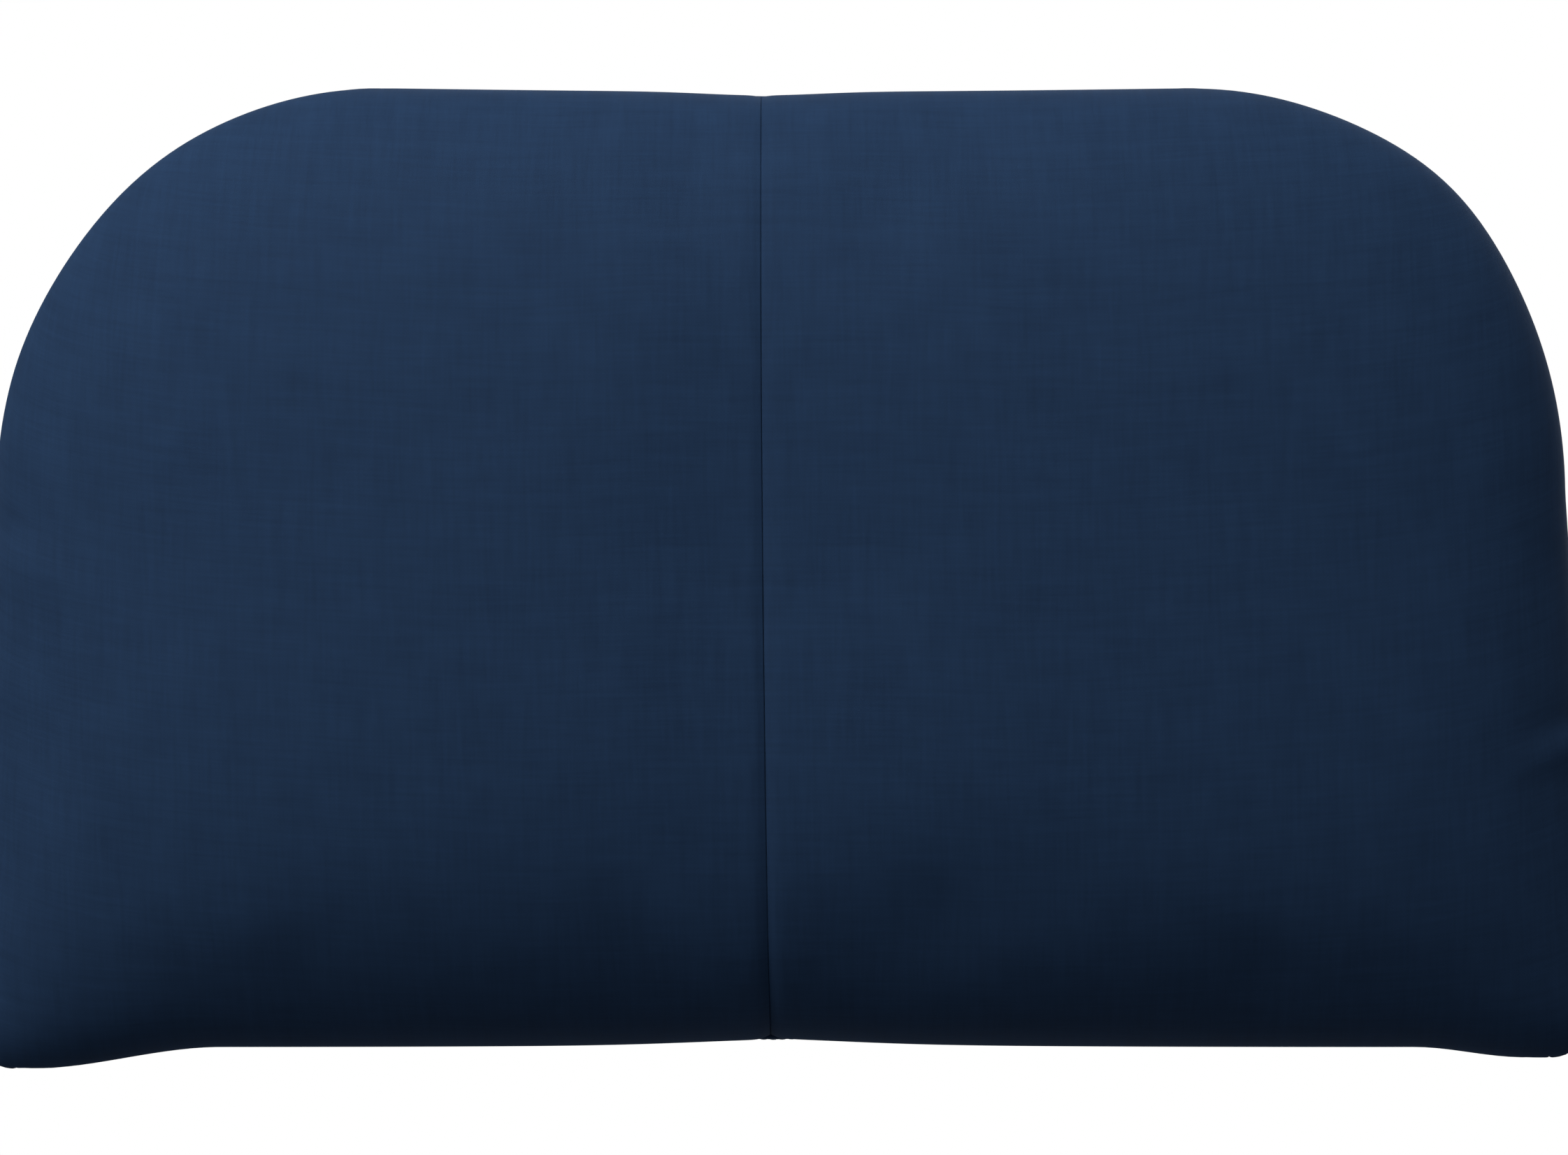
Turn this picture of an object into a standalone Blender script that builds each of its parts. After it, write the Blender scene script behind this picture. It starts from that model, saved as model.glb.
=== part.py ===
"""Wall-hung punch pad: a sewn cover over layered foam on a plywood board, hung on a Z-rail.

The wall is the plane y = 0 and the pad stands out of it towards -Y, so its front faces -Y.
+Z is up.  The origin is the centre of the wall rail's back face.  Every inner layer follows
the cover's own outline, set in by a named distance.
"""
import math

import bmesh
import bpy

MM = 0.001

# Whole pad
PAD_TOP = 125 * MM
PAD_BOTTOM = -267 * MM
SEAM_Y = -70 * MM            # plane where the front panels meet the side band
DOME_DEPTH = 64 * MM         # how far the crowned front stands out of that plane
GAP = 0.3 * MM               # clearance between neighbouring solids

# Front outline: flat top, elliptical shoulders, sides that flare a little, small bottom corners
TOP_HALF = 165 * MM
SHOULDER_A = 153 * MM
SHOULDER_B = 165 * MM
SIDE_FLARE = 11 * MM
CORNER_RADIUS = 18 * MM
CORNER_RADIUS_MIN = 6 * MM
SHOULDER_STEPS = 9
CORNER_STEPS = 4
SIDE_STEPS = 4
BOTTOM_STEPS = 3
DOME_STEPS = 8
CROWN_ACROSS = 3.4           # how square the crown is from side to side
CROWN_UP = 2.9               # how square it is from bottom to top
SEAM_X = -6.5 * MM           # the centre seam is sewn a little to the left of the middle

# Layers, each given by how far it is set in from the cover's outer surface
COVER_THICK = 1.4 * MM
TAPE_SET_IN = 3.4 * MM
TAPE_THICK = 0.8 * MM
TAPE_HALF_WIDTH = 9 * MM
WADDING_SET_IN = 7.0 * MM
WADDING_THICK = 3.4 * MM
FOAM_SET_IN = 11.2 * MM
BOARD_SET_IN = 45 * MM

# Depths behind the front dome
PANEL_OUT_Y = -7.2 * MM
REAR_PANEL_THICK = 1.2 * MM
BOARD_THICK = 12 * MM
BASE_FOAM_THICK = 20 * MM
BAND_FRONT_Y = SEAM_Y + GAP / 2
PANEL_RIM_Y = SEAM_Y - GAP / 2
PANEL_IN_Y = PANEL_OUT_Y - REAR_PANEL_THICK
BOARD_BACK_Y = PANEL_IN_Y - GAP
BOARD_FRONT_Y = BOARD_BACK_Y - BOARD_THICK
BASE_BACK_Y = BOARD_FRONT_Y - GAP
BASE_FRONT_Y = BASE_BACK_Y - BASE_FOAM_THICK
CORE_BACK_Y = BASE_FRONT_Y - GAP
STRIKE_BACK_Y = SEAM_Y - GAP

# Z-rails
RAIL_LENGTH = 400 * MM
RAIL_THICK = 3 * MM
RAIL_EDGE = 0.7 * MM         # radius of the extrusion's edges
HOOK_CLEARANCE = 0.6 * MM
FLANGE_HEIGHT = 24 * MM
LIP_HEIGHT = 14 * MM
WALL_RAIL_TOP = FLANGE_HEIGHT / 2
RAIL_HOLE_XS = (-165 * MM, -60 * MM, 60 * MM, 165 * MM)

# Fasteners
WALL_SCREW_Z = -2 * MM
WALL_HOLE_RADIUS = 2.75 * MM
BOLT_RADIUS = 3.0 * MM
BOLT_HOLE_RADIUS = 3.3 * MM
TEE_NUT_BARREL = 4.0 * MM
TEE_NUT_FLANGE = 9.5 * MM
TEE_NUT_RECESS = 1.9 * MM
TEE_NUT_LENGTH = 8 * MM
ROUND_STEPS = 16

# Lower bumpers
BUMPER_X = 230 * MM
BUMPER_Z = -195 * MM
BUMPER_RADIUS = 19 * MM
BUMPER_RECESS_RADIUS = 6 * MM
BUMPER_RECESS = 3.5 * MM
BUMPER_SCREW_RADIUS = 2.0 * MM
BUMPER_HOLE_RADIUS = 2.4 * MM
BUMPER_STEPS = 24

# Vent eyelets
EYELET_XS = (-240 * MM, -90 * MM, 90 * MM, 240 * MM)
EYELET_Z = -240 * MM
EYELET_BORE = 3.5 * MM
EYELET_BARREL = 4.5 * MM
EYELET_FLANGE = 7.0 * MM

# Zip in the bottom
ZIP_Y = -30 * MM
ZIP_HALF_LENGTH = 300 * MM
ZIP_TAPE_WIDTH = 12.8 * MM
ZIP_TAPE_THICK = 0.8 * MM
ZIP_SLOT = 2.4 * MM          # gap between the two tapes, which the slider's post runs in
ZIP_OPENING = 12.4 * MM      # gap between the two bottom bands
ZIP_RISE = 2.2 * MM          # how far the tapes lie above the bands' inner face
CHAIN_WIDTH = 5.2 * MM
CHAIN_THICK = 2.4 * MM
CHAIN_START_X = 289.6 * MM   # the chain's fixed end, at the bottom stop
SLIDER_X = -285 * MM         # the slider's place with the zip closed
SLIDER_LENGTH = 12 * MM
SLIDER_WIDTH = 9 * MM
SLIDER_WING = 1.3 * MM
SLIDER_POST_LENGTH = 3.6 * MM
PULL_AXIS_DROP = 2.0 * MM    # hinge bar below the slider's lower wing
PULL_BAR_RADIUS = 0.7 * MM
PULL_EYE_RADIUS = 1.7 * MM
PULL_EYE_BORE = 1.0 * MM
PULL_EYE_WIDTH = 2.2 * MM
PULL_LENGTH = 26 * MM
PULL_WIDTH = 7 * MM
PULL_THICK = 1.4 * MM

TAPE_TOP_Z = PAD_BOTTOM + COVER_THICK + ZIP_RISE + ZIP_TAPE_THICK
TAPE_LOW_Z = TAPE_TOP_Z - ZIP_TAPE_THICK
CHAIN_TOP_Z = TAPE_LOW_Z - GAP
CHAIN_LOW_Z = CHAIN_TOP_Z - CHAIN_THICK
WING_TOP_Z = CHAIN_LOW_Z - GAP
WING_LOW_Z = WING_TOP_Z - SLIDER_WING


# ---------------------------------------------------------------- helpers

def clear_scene():
    for obj in list(bpy.data.objects):
        bpy.data.objects.remove(obj, do_unlink=True)


def make_material(name, colour, roughness, metallic=0.0):
    mat = bpy.data.materials.new(name)
    mat.use_nodes = True
    shader = mat.node_tree.nodes["Principled BSDF"]
    shader.inputs["Base Color"].default_value = (*colour, 1.0)
    shader.inputs["Roughness"].default_value = roughness
    shader.inputs["Metallic"].default_value = metallic
    return mat


def make_empty(name, location, parent=None):
    empty = bpy.data.objects.new(name, None)
    empty.location = location
    empty.empty_display_size = 0.02
    empty.parent = parent
    bpy.context.scene.collection.objects.link(empty)
    return empty


def make_object(name, verts, faces, mat, parent=None, smooth=False):
    """One closed body from its vertices and faces, turned so that its faces point out."""
    mesh = bpy.data.meshes.new(name)
    mesh.from_pydata(verts, [], faces)
    bm = bmesh.new()
    bm.from_mesh(mesh)
    bmesh.ops.recalc_face_normals(bm, faces=bm.faces)
    bm.to_mesh(mesh)
    bm.free()
    if smooth:
        mesh.shade_smooth()
        mesh.set_sharp_from_angle(angle=math.radians(40))
    obj = bpy.data.objects.new(name, mesh)
    if mat:
        mesh.materials.append(mat)
    obj.parent = parent
    bpy.context.scene.collection.objects.link(obj)
    return obj


def box_geometry(low, high):
    xs, ys, zs = zip(low, high)
    verts = [(x, y, z) for x in xs for y in ys for z in zs]
    faces = [(0, 1, 3, 2), (4, 6, 7, 5), (0, 4, 5, 1), (2, 3, 7, 6), (0, 2, 6, 4), (1, 5, 7, 3)]
    return verts, faces


def make_box(name, low, high, mat=None, parent=None):
    return make_object(name, *box_geometry(low, high), mat, parent)


def turned_geometry(profile, centre, steps):
    """Turn a closed profile of (radius, distance along the axis) about an axis through centre."""
    verts = []
    rings = []
    for radius, along in profile:
        count = 1 if radius == 0 else steps
        ring = []
        for k in range(count):
            angle = 2 * math.pi * k / steps
            across = radius * math.cos(angle)
            up = radius * math.sin(angle)
            ring.append(len(verts))
            verts.append((centre[0] + across, centre[1] + along, centre[2] + up))
        rings.append(ring)
    faces = []
    is_solid = profile[0][0] == 0
    last = len(rings) if not is_solid else len(rings) - 1
    for i in range(last):
        ring = rings[i]
        following = rings[(i + 1) % len(rings)]
        for k in range(steps):
            corner = [ring[k % len(ring)], ring[(k + 1) % len(ring)],
                      following[(k + 1) % len(following)], following[k % len(following)]]
            faces.append(tuple(dict.fromkeys(corner)))
    return verts, faces


def make_turned(name, profile, x, z, mat=None, parent=None, steps=ROUND_STEPS):
    geometry = turned_geometry(profile, (x, 0, z), steps)
    return make_object(name, *geometry, mat, parent, smooth=True)


def make_rods(name, rods, steps=ROUND_STEPS):
    """Several separate round rods along Y in one mesh: a cutter for a row of holes."""
    verts = []
    faces = []
    for x, z, radius, y_back, y_front in rods:
        profile = [(0, y_back), (radius, y_back), (radius, y_front), (0, y_front)]
        rod_verts, rod_faces = turned_geometry(profile, (x, 0, z), steps)
        base = len(verts)
        verts += rod_verts
        faces += [tuple(base + i for i in face) for face in rod_faces]
    return make_object(name, verts, faces, None)


def combine(obj, other, operation):
    """Cut another object out of this one, or join it on, and keep the other as a guide."""
    boolean = obj.modifiers.new(other.name, "BOOLEAN")
    boolean.operation = operation
    boolean.solver = "EXACT"
    boolean.object = other
    other.hide_render = True
    other.display_type = "WIRE"


def outline(set_in):
    """The pad's outline as (x, z) points, clockwise from the top centre.

    Every set-in distance gives the same number of points, so two outlines pair up.
    """
    radius = max(CORNER_RADIUS - set_in, CORNER_RADIUS_MIN)
    shoulder_z = PAD_TOP - SHOULDER_B
    side_top = TOP_HALF + SHOULDER_A - set_in
    side_low = side_top + SIDE_FLARE
    corner_x = side_low - radius
    corner_z = PAD_BOTTOM + set_in + radius
    half = [(0, PAD_TOP - set_in), (TOP_HALF / 2, PAD_TOP - set_in)]
    for k in range(SHOULDER_STEPS + 1):
        angle = math.pi / 2 * (1 - k / SHOULDER_STEPS)
        half.append((TOP_HALF + (SHOULDER_A - set_in) * math.cos(angle),
                     shoulder_z + (SHOULDER_B - set_in) * math.sin(angle)))
    for k in range(1, SIDE_STEPS):
        part = k / SIDE_STEPS
        half.append((side_top + SIDE_FLARE * part, shoulder_z + (corner_z - shoulder_z) * part))
    for k in range(CORNER_STEPS + 1):
        angle = math.pi / 2 * k / CORNER_STEPS
        half.append((corner_x + radius * math.cos(angle), corner_z - radius * math.sin(angle)))
    for k in range(1, BOTTOM_STEPS + 1):
        half.append((corner_x * (1 - k / BOTTOM_STEPS), PAD_BOTTOM + set_in))
    mirrored = [(-x, z) for x, z in half[-2:0:-1]]
    return half + mirrored


HALF_COUNT = 1 + 1 + SHOULDER_STEPS + 1 + (SIDE_STEPS - 1) + (CORNER_STEPS + 1) + BOTTOM_STEPS
BOTTOM_CENTRE = HALF_COUNT - 1
CORNER_END = BOTTOM_CENTRE - BOTTOM_STEPS
DOME_CENTRE_Z = (PAD_TOP + PAD_BOTTOM) / 2
FULL_OUTLINE = outline(0)


def half_width(z):
    """Half the cover's width at height z."""
    shoulder_z = PAD_TOP - SHOULDER_B
    corner_z = PAD_BOTTOM + CORNER_RADIUS
    side_top = TOP_HALF + SHOULDER_A
    if z >= shoulder_z:
        rise = min((z - shoulder_z) / SHOULDER_B, 1)
        return TOP_HALF + SHOULDER_A * math.sqrt(1 - rise ** 2)
    if z >= corner_z:
        return side_top + SIDE_FLARE * (shoulder_z - z) / (shoulder_z - corner_z)
    drop = min((corner_z - z) / CORNER_RADIUS, 1)
    return side_top + SIDE_FLARE - CORNER_RADIUS * (1 - math.sqrt(1 - drop ** 2))


def crown(x, z):
    """How far the front stands out at (x, z): 0 at the rim and 1 in the middle."""
    across = min(abs(x) / half_width(z), 1)
    up = min(abs(z - DOME_CENTRE_Z) / (PAD_TOP - DOME_CENTRE_Z), 1)
    return math.sqrt((1 - across ** CROWN_ACROSS) * (1 - up ** CROWN_UP))


def dome_rings(loop, rim_y, depth):
    """Rings of a crowned face, from its rim at rim_y to just short of its centre, and the centre.

    A layer that is set in takes its crown from the cover's own outline, so layers stay parallel.
    """
    rings = []
    for k in range(DOME_STEPS):
        size = math.sqrt(math.sin(math.pi / 2 * (1 - k / DOME_STEPS)))
        ring = []
        for (x, z), (full_x, full_z) in zip(loop, FULL_OUTLINE):
            height = crown(full_x * size, DOME_CENTRE_Z + (full_z - DOME_CENTRE_Z) * size)
            height = 0 if k == 0 else height
            ring.append((x * size, rim_y - depth * height,
                         DOME_CENTRE_Z + (z - DOME_CENTRE_Z) * size))
        rings.append(ring)
    return rings, (0, rim_y - depth, DOME_CENTRE_Z)


def ring_faces(first, second, closed=True):
    count = len(first)
    pairs = count if closed else count - 1
    return [(first[k], first[(k + 1) % count], second[(k + 1) % count], second[k])
            for k in range(pairs)]


def index_rings(rings, start):
    indices = []
    for ring in rings:
        indices.append(list(range(start, start + len(ring))))
        start += len(ring)
    return indices


def make_prism(name, loop, back_y, front_y, mat, parent):
    """A flat layer with the given outline."""
    count = len(loop)
    verts = [(x, back_y, z) for x, z in loop] + [(x, front_y, z) for x, z in loop]
    back = list(range(count))
    front = list(range(count, 2 * count))
    faces = ring_faces(back, front) + [tuple(back), tuple(front)]
    return make_object(name, verts, faces, mat, parent)


def make_ring_prism(name, outer, inner, back_y, front_y, mat, parent, closed=True):
    """A flat ring between two outlines, or an open strip between two lines of points."""
    rings = [[(x, y, z) for x, z in line]
             for y, line in ((back_y, outer), (front_y, outer), (front_y, inner), (back_y, inner))]
    verts = [point for ring in rings for point in ring]
    loops = index_rings(rings, 0)
    faces = []
    for k in range(4):
        faces += ring_faces(loops[k], loops[(k + 1) % 4], closed)
    if not closed:
        faces += [tuple(loop[0] for loop in loops), tuple(loop[-1] for loop in loops)]
    return make_object(name, verts, faces, mat, parent)


def make_dome(name, loop, rim_y, depth, mat, parent):
    """A solid with a flat back and a crowned front."""
    rings, centre = dome_rings(loop, rim_y, depth)
    verts = [point for ring in rings for point in ring] + [centre]
    loops = index_rings(rings, 0)
    faces = [tuple(loops[0])]
    for first, second in zip(loops, loops[1:]):
        faces += ring_faces(first, second)
    top = len(verts) - 1
    last = loops[-1]
    faces += [(last[k], last[(k + 1) % len(last)], top) for k in range(len(last))]
    return make_object(name, verts, faces, mat, parent, smooth=True)


def make_dome_shell(name, outer, inner, depth, thick, rim_y, skirt_y, mat, parent):
    """A crowned shell of even thickness, open at the back, with a skirt down to skirt_y."""
    verts = []
    faces = []
    rims = []
    for line, reach in ((outer, depth), (inner, depth - thick)):
        rings, centre = dome_rings(line, rim_y, reach)
        rings = [[(x, skirt_y, z) for x, z in line]] + rings
        loops = index_rings(rings, len(verts))
        verts += [point for ring in rings for point in ring] + [centre]
        for first, second in zip(loops, loops[1:]):
            faces += ring_faces(first, second)
        top = len(verts) - 1
        last = loops[-1]
        faces += [(last[k], last[(k + 1) % len(last)], top) for k in range(len(last))]
        rims.append(loops[0])
    faces += ring_faces(rims[0], rims[1])
    return make_object(name, verts, faces, mat, parent, smooth=True)


def make_front_panel(name, side, mat, parent):
    """One half of the crowned front: side +1 is the half towards +X."""
    seam_x = SEAM_X + side * GAP / 2
    verts = []
    faces = []
    rims = []
    seams = []
    for set_in in (0, COVER_THICK):
        line = [(side * x, z) for x, z in outline(set_in)[:HALF_COUNT]]
        rings, centre = dome_rings(line, PANEL_RIM_Y, DOME_DEPTH - set_in)
        for ring in rings:
            ring[0] = (seam_x, *ring[0][1:])
            ring[-1] = (seam_x, *ring[-1][1:])
        loops = index_rings(rings, len(verts))
        verts += [point for ring in rings for point in ring] + [(seam_x, *centre[1:])]
        for first, second in zip(loops, loops[1:]):
            faces += ring_faces(first, second, closed=False)
        top = len(verts) - 1
        last = loops[-1]
        faces += [(last[k], last[k + 1], top) for k in range(len(last) - 1)]
        rims.append(loops[0])
        seams.append([loop[0] for loop in loops] + [top] + [loop[-1] for loop in loops[::-1]])
    faces += ring_faces(rims[0], rims[1], closed=False)
    faces += ring_faces(seams[0], seams[1], closed=False)
    return make_object(name, verts, faces, mat, parent, smooth=True)


def make_seam_tape(name, mat, parent):
    """The strip sewn behind the centre seam, from the top rim over the crown to the bottom rim."""
    lines = []
    for set_in in (TAPE_SET_IN, TAPE_SET_IN + TAPE_THICK):
        rings, centre = dome_rings(outline(set_in), PANEL_RIM_Y, DOME_DEPTH - set_in)
        down = [ring[0] for ring in rings] + [centre]
        up = [ring[BOTTOM_CENTRE] for ring in rings[::-1]]
        for x in (SEAM_X - TAPE_HALF_WIDTH, SEAM_X + TAPE_HALF_WIDTH):
            lines.append([(x, y, z) for _, y, z in down + up])
    lines[2], lines[3] = lines[3], lines[2]
    verts = [point for line in lines for point in line]
    loops = index_rings(lines, 0)
    faces = []
    for k in range(4):
        faces += ring_faces(loops[k], loops[(k + 1) % 4], closed=False)
    faces += [tuple(loop[0] for loop in loops), tuple(loop[-1] for loop in loops)]
    return make_object(name, verts, faces, mat, parent)


# ---------------------------------------------------------------- rails and fasteners

def make_rail(name, profile, mat, parent=None):
    """A rail along X from its (y, z) section."""
    count = len(profile)
    verts = [(x, y, z) for x in (-RAIL_LENGTH / 2, RAIL_LENGTH / 2) for y, z in profile]
    low = list(range(count))
    high = list(range(count, 2 * count))
    return make_object(name, verts, ring_faces(low, high) + [tuple(low), tuple(high)], mat, parent)


def rounded(profile, radius, steps=3):
    """A closed profile with each corner turned into a short arc."""
    points = []
    for k, (y, z) in enumerate(profile):
        before = profile[k - 1]
        after = profile[(k + 1) % len(profile)]
        arms = []
        for end_y, end_z in (before, after):
            length = math.hypot(end_y - y, end_z - z)
            arms.append((y + (end_y - y) / length * radius, z + (end_z - z) / length * radius))
        for step in range(steps + 1):
            t = step / steps
            weights = ((1 - t) ** 2, 2 * t * (1 - t), t ** 2)
            points.append(tuple(weights[0] * arms[0][i] + weights[1] * (y, z)[i]
                                + weights[2] * arms[1][i] for i in range(2)))
    return points


def z_section(wall_y, top_z, hook):
    """Section of a Z-rail: a flange, a web across and a lip, three metal thicknesses in all.

    hook +1 is the wall rail, whose lip stands up in front of its flange; hook -1 is the pad's
    rail, the same section turned half round.
    """
    t = RAIL_THICK * hook
    out = (RAIL_THICK + HOOK_CLEARANCE) * hook
    flange = FLANGE_HEIGHT * hook
    lip = LIP_HEIGHT * hook
    section = [(wall_y, top_z), (wall_y, top_z - flange), (wall_y - t, top_z - flange),
               (wall_y - t, top_z - t), (wall_y - out - t, top_z - t),
               (wall_y - out - t, top_z + lip), (wall_y - out, top_z + lip),
               (wall_y - out, top_z)]
    return rounded(section, RAIL_EDGE)


BOARD_RAIL_LOW = WALL_RAIL_TOP + LIP_HEIGHT + GAP
BOARD_RAIL_Y = -(2 * RAIL_THICK + HOOK_CLEARANCE + GAP)
BOLT_Z = BOARD_RAIL_LOW + FLANGE_HEIGHT / 2
RAIL_FACE_Y = BOARD_RAIL_Y + RAIL_THICK


def make_rails(steel, aluminium, pad):
    wall_rail = make_rail("wall_rail", z_section(0, WALL_RAIL_TOP, 1), aluminium)
    holes = [(x, WALL_SCREW_Z, WALL_HOLE_RADIUS, 1 * MM, -4 * MM) for x in RAIL_HOLE_XS]
    combine(wall_rail, make_rods("wall_rail_holes", holes), "DIFFERENCE")
    board_rail = make_rail("board_rail", z_section(BOARD_RAIL_Y, BOARD_RAIL_LOW, -1), aluminium, pad)
    holes = [(x, BOLT_Z, BOLT_HOLE_RADIUS, 0, BOARD_RAIL_Y - 1 * MM) for x in RAIL_HOLE_XS]
    combine(board_rail, make_rods("board_rail_holes", holes), "DIFFERENCE")
    head_back = -RAIL_THICK - GAP
    screw = [(0, head_back - 2.8 * MM), (3.0 * MM, head_back - 2.8 * MM),
             (4.6 * MM, head_back - 1.4 * MM), (4.6 * MM, head_back), (2.3 * MM, head_back),
             (2.3 * MM, 29 * MM), (0, 35 * MM)]
    for number, x in enumerate(RAIL_HOLE_XS, 1):
        make_turned(f"wall_screw_{number}", screw, x, WALL_SCREW_Z, steel)


def make_board_fasteners(steel, pad):
    head_low = RAIL_FACE_Y + GAP
    bolt = [(0, head_low + 2.8 * MM), (3.0 * MM, head_low + 2.8 * MM),
            (5.3 * MM, head_low + 1.2 * MM), (5.3 * MM, head_low), (BOLT_RADIUS, head_low),
            (BOLT_RADIUS, BOARD_FRONT_Y + 1 * MM), (0, BOARD_FRONT_Y + 1 * MM)]
    flange_back = BOARD_FRONT_Y + TEE_NUT_RECESS - GAP
    flange_front = BOARD_FRONT_Y + GAP
    nut = [(BOLT_HOLE_RADIUS, flange_front), (TEE_NUT_FLANGE, flange_front),
           (TEE_NUT_FLANGE, flange_back), (TEE_NUT_BARREL, flange_back),
           (TEE_NUT_BARREL, flange_back + TEE_NUT_LENGTH),
           (BOLT_HOLE_RADIUS, flange_back + TEE_NUT_LENGTH)]
    for number, x in enumerate(RAIL_HOLE_XS, 1):
        make_turned(f"rail_bolt_{number}", bolt, x, BOLT_Z, steel, pad)
        make_turned(f"tee_nut_{number}", nut, x, BOLT_Z, steel, pad)


def make_bumpers(rubber, steel, pad):
    back_y = PANEL_OUT_Y + GAP
    bumper = [(BUMPER_HOLE_RADIUS, back_y), (BUMPER_RADIUS, back_y), (BUMPER_RADIUS, 0),
              (BUMPER_RECESS_RADIUS, 0), (BUMPER_RECESS_RADIUS, -BUMPER_RECESS),
              (BUMPER_HOLE_RADIUS, -BUMPER_RECESS)]
    washer_back = -BUMPER_RECESS + GAP
    washer = [(BUMPER_HOLE_RADIUS, washer_back), (5.4 * MM, washer_back),
              (5.4 * MM, washer_back + 0.8 * MM), (BUMPER_HOLE_RADIUS, washer_back + 0.8 * MM)]
    head_back = washer_back + 0.8 * MM + GAP
    screw = [(0, head_back + 1.7 * MM), (2.2 * MM, head_back + 1.7 * MM),
             (3.9 * MM, head_back + 0.7 * MM), (3.9 * MM, head_back),
             (BUMPER_SCREW_RADIUS, head_back), (BUMPER_SCREW_RADIUS, -16.5 * MM), (0, -18.5 * MM)]
    for side, word in ((-1, "left"), (1, "right")):
        x = side * BUMPER_X
        make_turned(f"bumper_{word}", bumper, x, BUMPER_Z, rubber, pad, BUMPER_STEPS)
        make_turned(f"bumper_washer_{word}", washer, x, BUMPER_Z, steel, pad)
        make_turned(f"bumper_screw_{word}", screw, x, BUMPER_Z, steel, pad)


# ---------------------------------------------------------------- board, foam and cover

def make_board(wood, pad):
    board = make_prism("backboard", outline(BOARD_SET_IN), BOARD_BACK_Y, BOARD_FRONT_Y, wood, pad)
    rods = []
    for x in RAIL_HOLE_XS:
        rods.append((x, BOLT_Z, TEE_NUT_BARREL + GAP, 0, BOARD_FRONT_Y - 1 * MM))
    for side in (-1, 1):
        rods.append((side * BUMPER_X, BUMPER_Z, BUMPER_HOLE_RADIUS, 0, BOARD_FRONT_Y - 1 * MM))
    combine(board, make_rods("backboard_holes", rods), "DIFFERENCE")
    recesses = [(x, BOLT_Z, TEE_NUT_FLANGE + GAP, BOARD_FRONT_Y + TEE_NUT_RECESS,
                 BOARD_FRONT_Y - 1 * MM) for x in RAIL_HOLE_XS]
    combine(board, make_rods("backboard_recesses", recesses), "DIFFERENCE")


def make_foams(edge_mat, base_mat, core_mat, strike_mat, wadding_mat, pad):
    foam_line = outline(FOAM_SET_IN)
    roll = make_ring_prism("foam_edge_roll", foam_line, outline(BOARD_SET_IN - GAP),
                           BOARD_BACK_Y, BOARD_FRONT_Y, edge_mat, pad)
    vents = [(x, EYELET_Z, EYELET_FLANGE + GAP, 0, BOARD_FRONT_Y - 1 * MM) for x in EYELET_XS]
    combine(roll, make_rods("vent_channels", vents), "DIFFERENCE")
    make_prism("foam_base_layer", foam_line, BASE_BACK_Y, BASE_FRONT_Y, base_mat, pad)
    make_prism("foam_core_layer", foam_line, CORE_BACK_Y, SEAM_Y, core_mat, pad)
    make_dome("foam_strike_layer", foam_line, STRIKE_BACK_Y, DOME_DEPTH - FOAM_SET_IN - GAP,
              strike_mat, pad)
    make_dome_shell("wadding_wrap", outline(WADDING_SET_IN),
                    outline(WADDING_SET_IN + WADDING_THICK), DOME_DEPTH - WADDING_SET_IN,
                    WADDING_THICK, SEAM_Y, BOARD_BACK_Y, wadding_mat, pad)


def make_cover(front_mat, band_mat, rear_mat, tape_mat, pad):
    make_front_panel("cover_front_left", -1, front_mat, pad)
    make_front_panel("cover_front_right", 1, front_mat, pad)
    make_seam_tape("centre_seam_tape", tape_mat, pad)
    over_the_top = list(range(-CORNER_END, CORNER_END + 1))
    outer = outline(0)
    inner = outline(COVER_THICK)
    make_ring_prism("side_band", [outer[k] for k in over_the_top], [inner[k] for k in over_the_top],
                    BOARD_BACK_Y, BAND_FRONT_Y, band_mat, pad, closed=False)
    band_half = TOP_HALF + SHOULDER_A + SIDE_FLARE - CORNER_RADIUS - GAP
    spans = {"bottom_band_front": (BAND_FRONT_Y, ZIP_Y - ZIP_OPENING / 2),
             "bottom_band_rear": (ZIP_Y + ZIP_OPENING / 2, BOARD_BACK_Y)}
    for name, (front_y, back_y) in spans.items():
        make_box(name, (-band_half, front_y, PAD_BOTTOM),
                 (band_half, back_y, PAD_BOTTOM + COVER_THICK), band_mat, pad)
    panel = make_prism("rear_panel", outer, PANEL_OUT_Y, PANEL_IN_Y, rear_mat, pad)
    rods = [(x, BOLT_Z, BOLT_HOLE_RADIUS, 0, BOARD_BACK_Y) for x in RAIL_HOLE_XS]
    rods += [(side * BUMPER_X, BUMPER_Z, BUMPER_HOLE_RADIUS, 0, BOARD_BACK_Y) for side in (-1, 1)]
    rods += [(x, EYELET_Z, EYELET_BARREL + GAP, 0, BOARD_BACK_Y) for x in EYELET_XS]
    combine(panel, make_rods("rear_panel_holes", rods), "DIFFERENCE")


def make_eyelets(brass, pad):
    """Rolled vent eyelets, clamped on both faces of the rear panel."""
    out_y = PANEL_OUT_Y + GAP
    in_y = PANEL_IN_Y - GAP
    lip = 0.8 * MM
    profile = [(EYELET_BORE, out_y + lip), (EYELET_FLANGE - 1 * MM, out_y + lip),
               (EYELET_FLANGE, out_y), (EYELET_BARREL, out_y), (EYELET_BARREL, in_y),
               (EYELET_FLANGE - 1 * MM, in_y), (EYELET_FLANGE - 1 * MM, in_y - lip),
               (EYELET_BORE, in_y - lip)]
    for number, x in enumerate(EYELET_XS, 1):
        make_turned(f"vent_eyelet_{number}", profile, x, EYELET_Z, brass, pad)


# ---------------------------------------------------------------- zip

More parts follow.
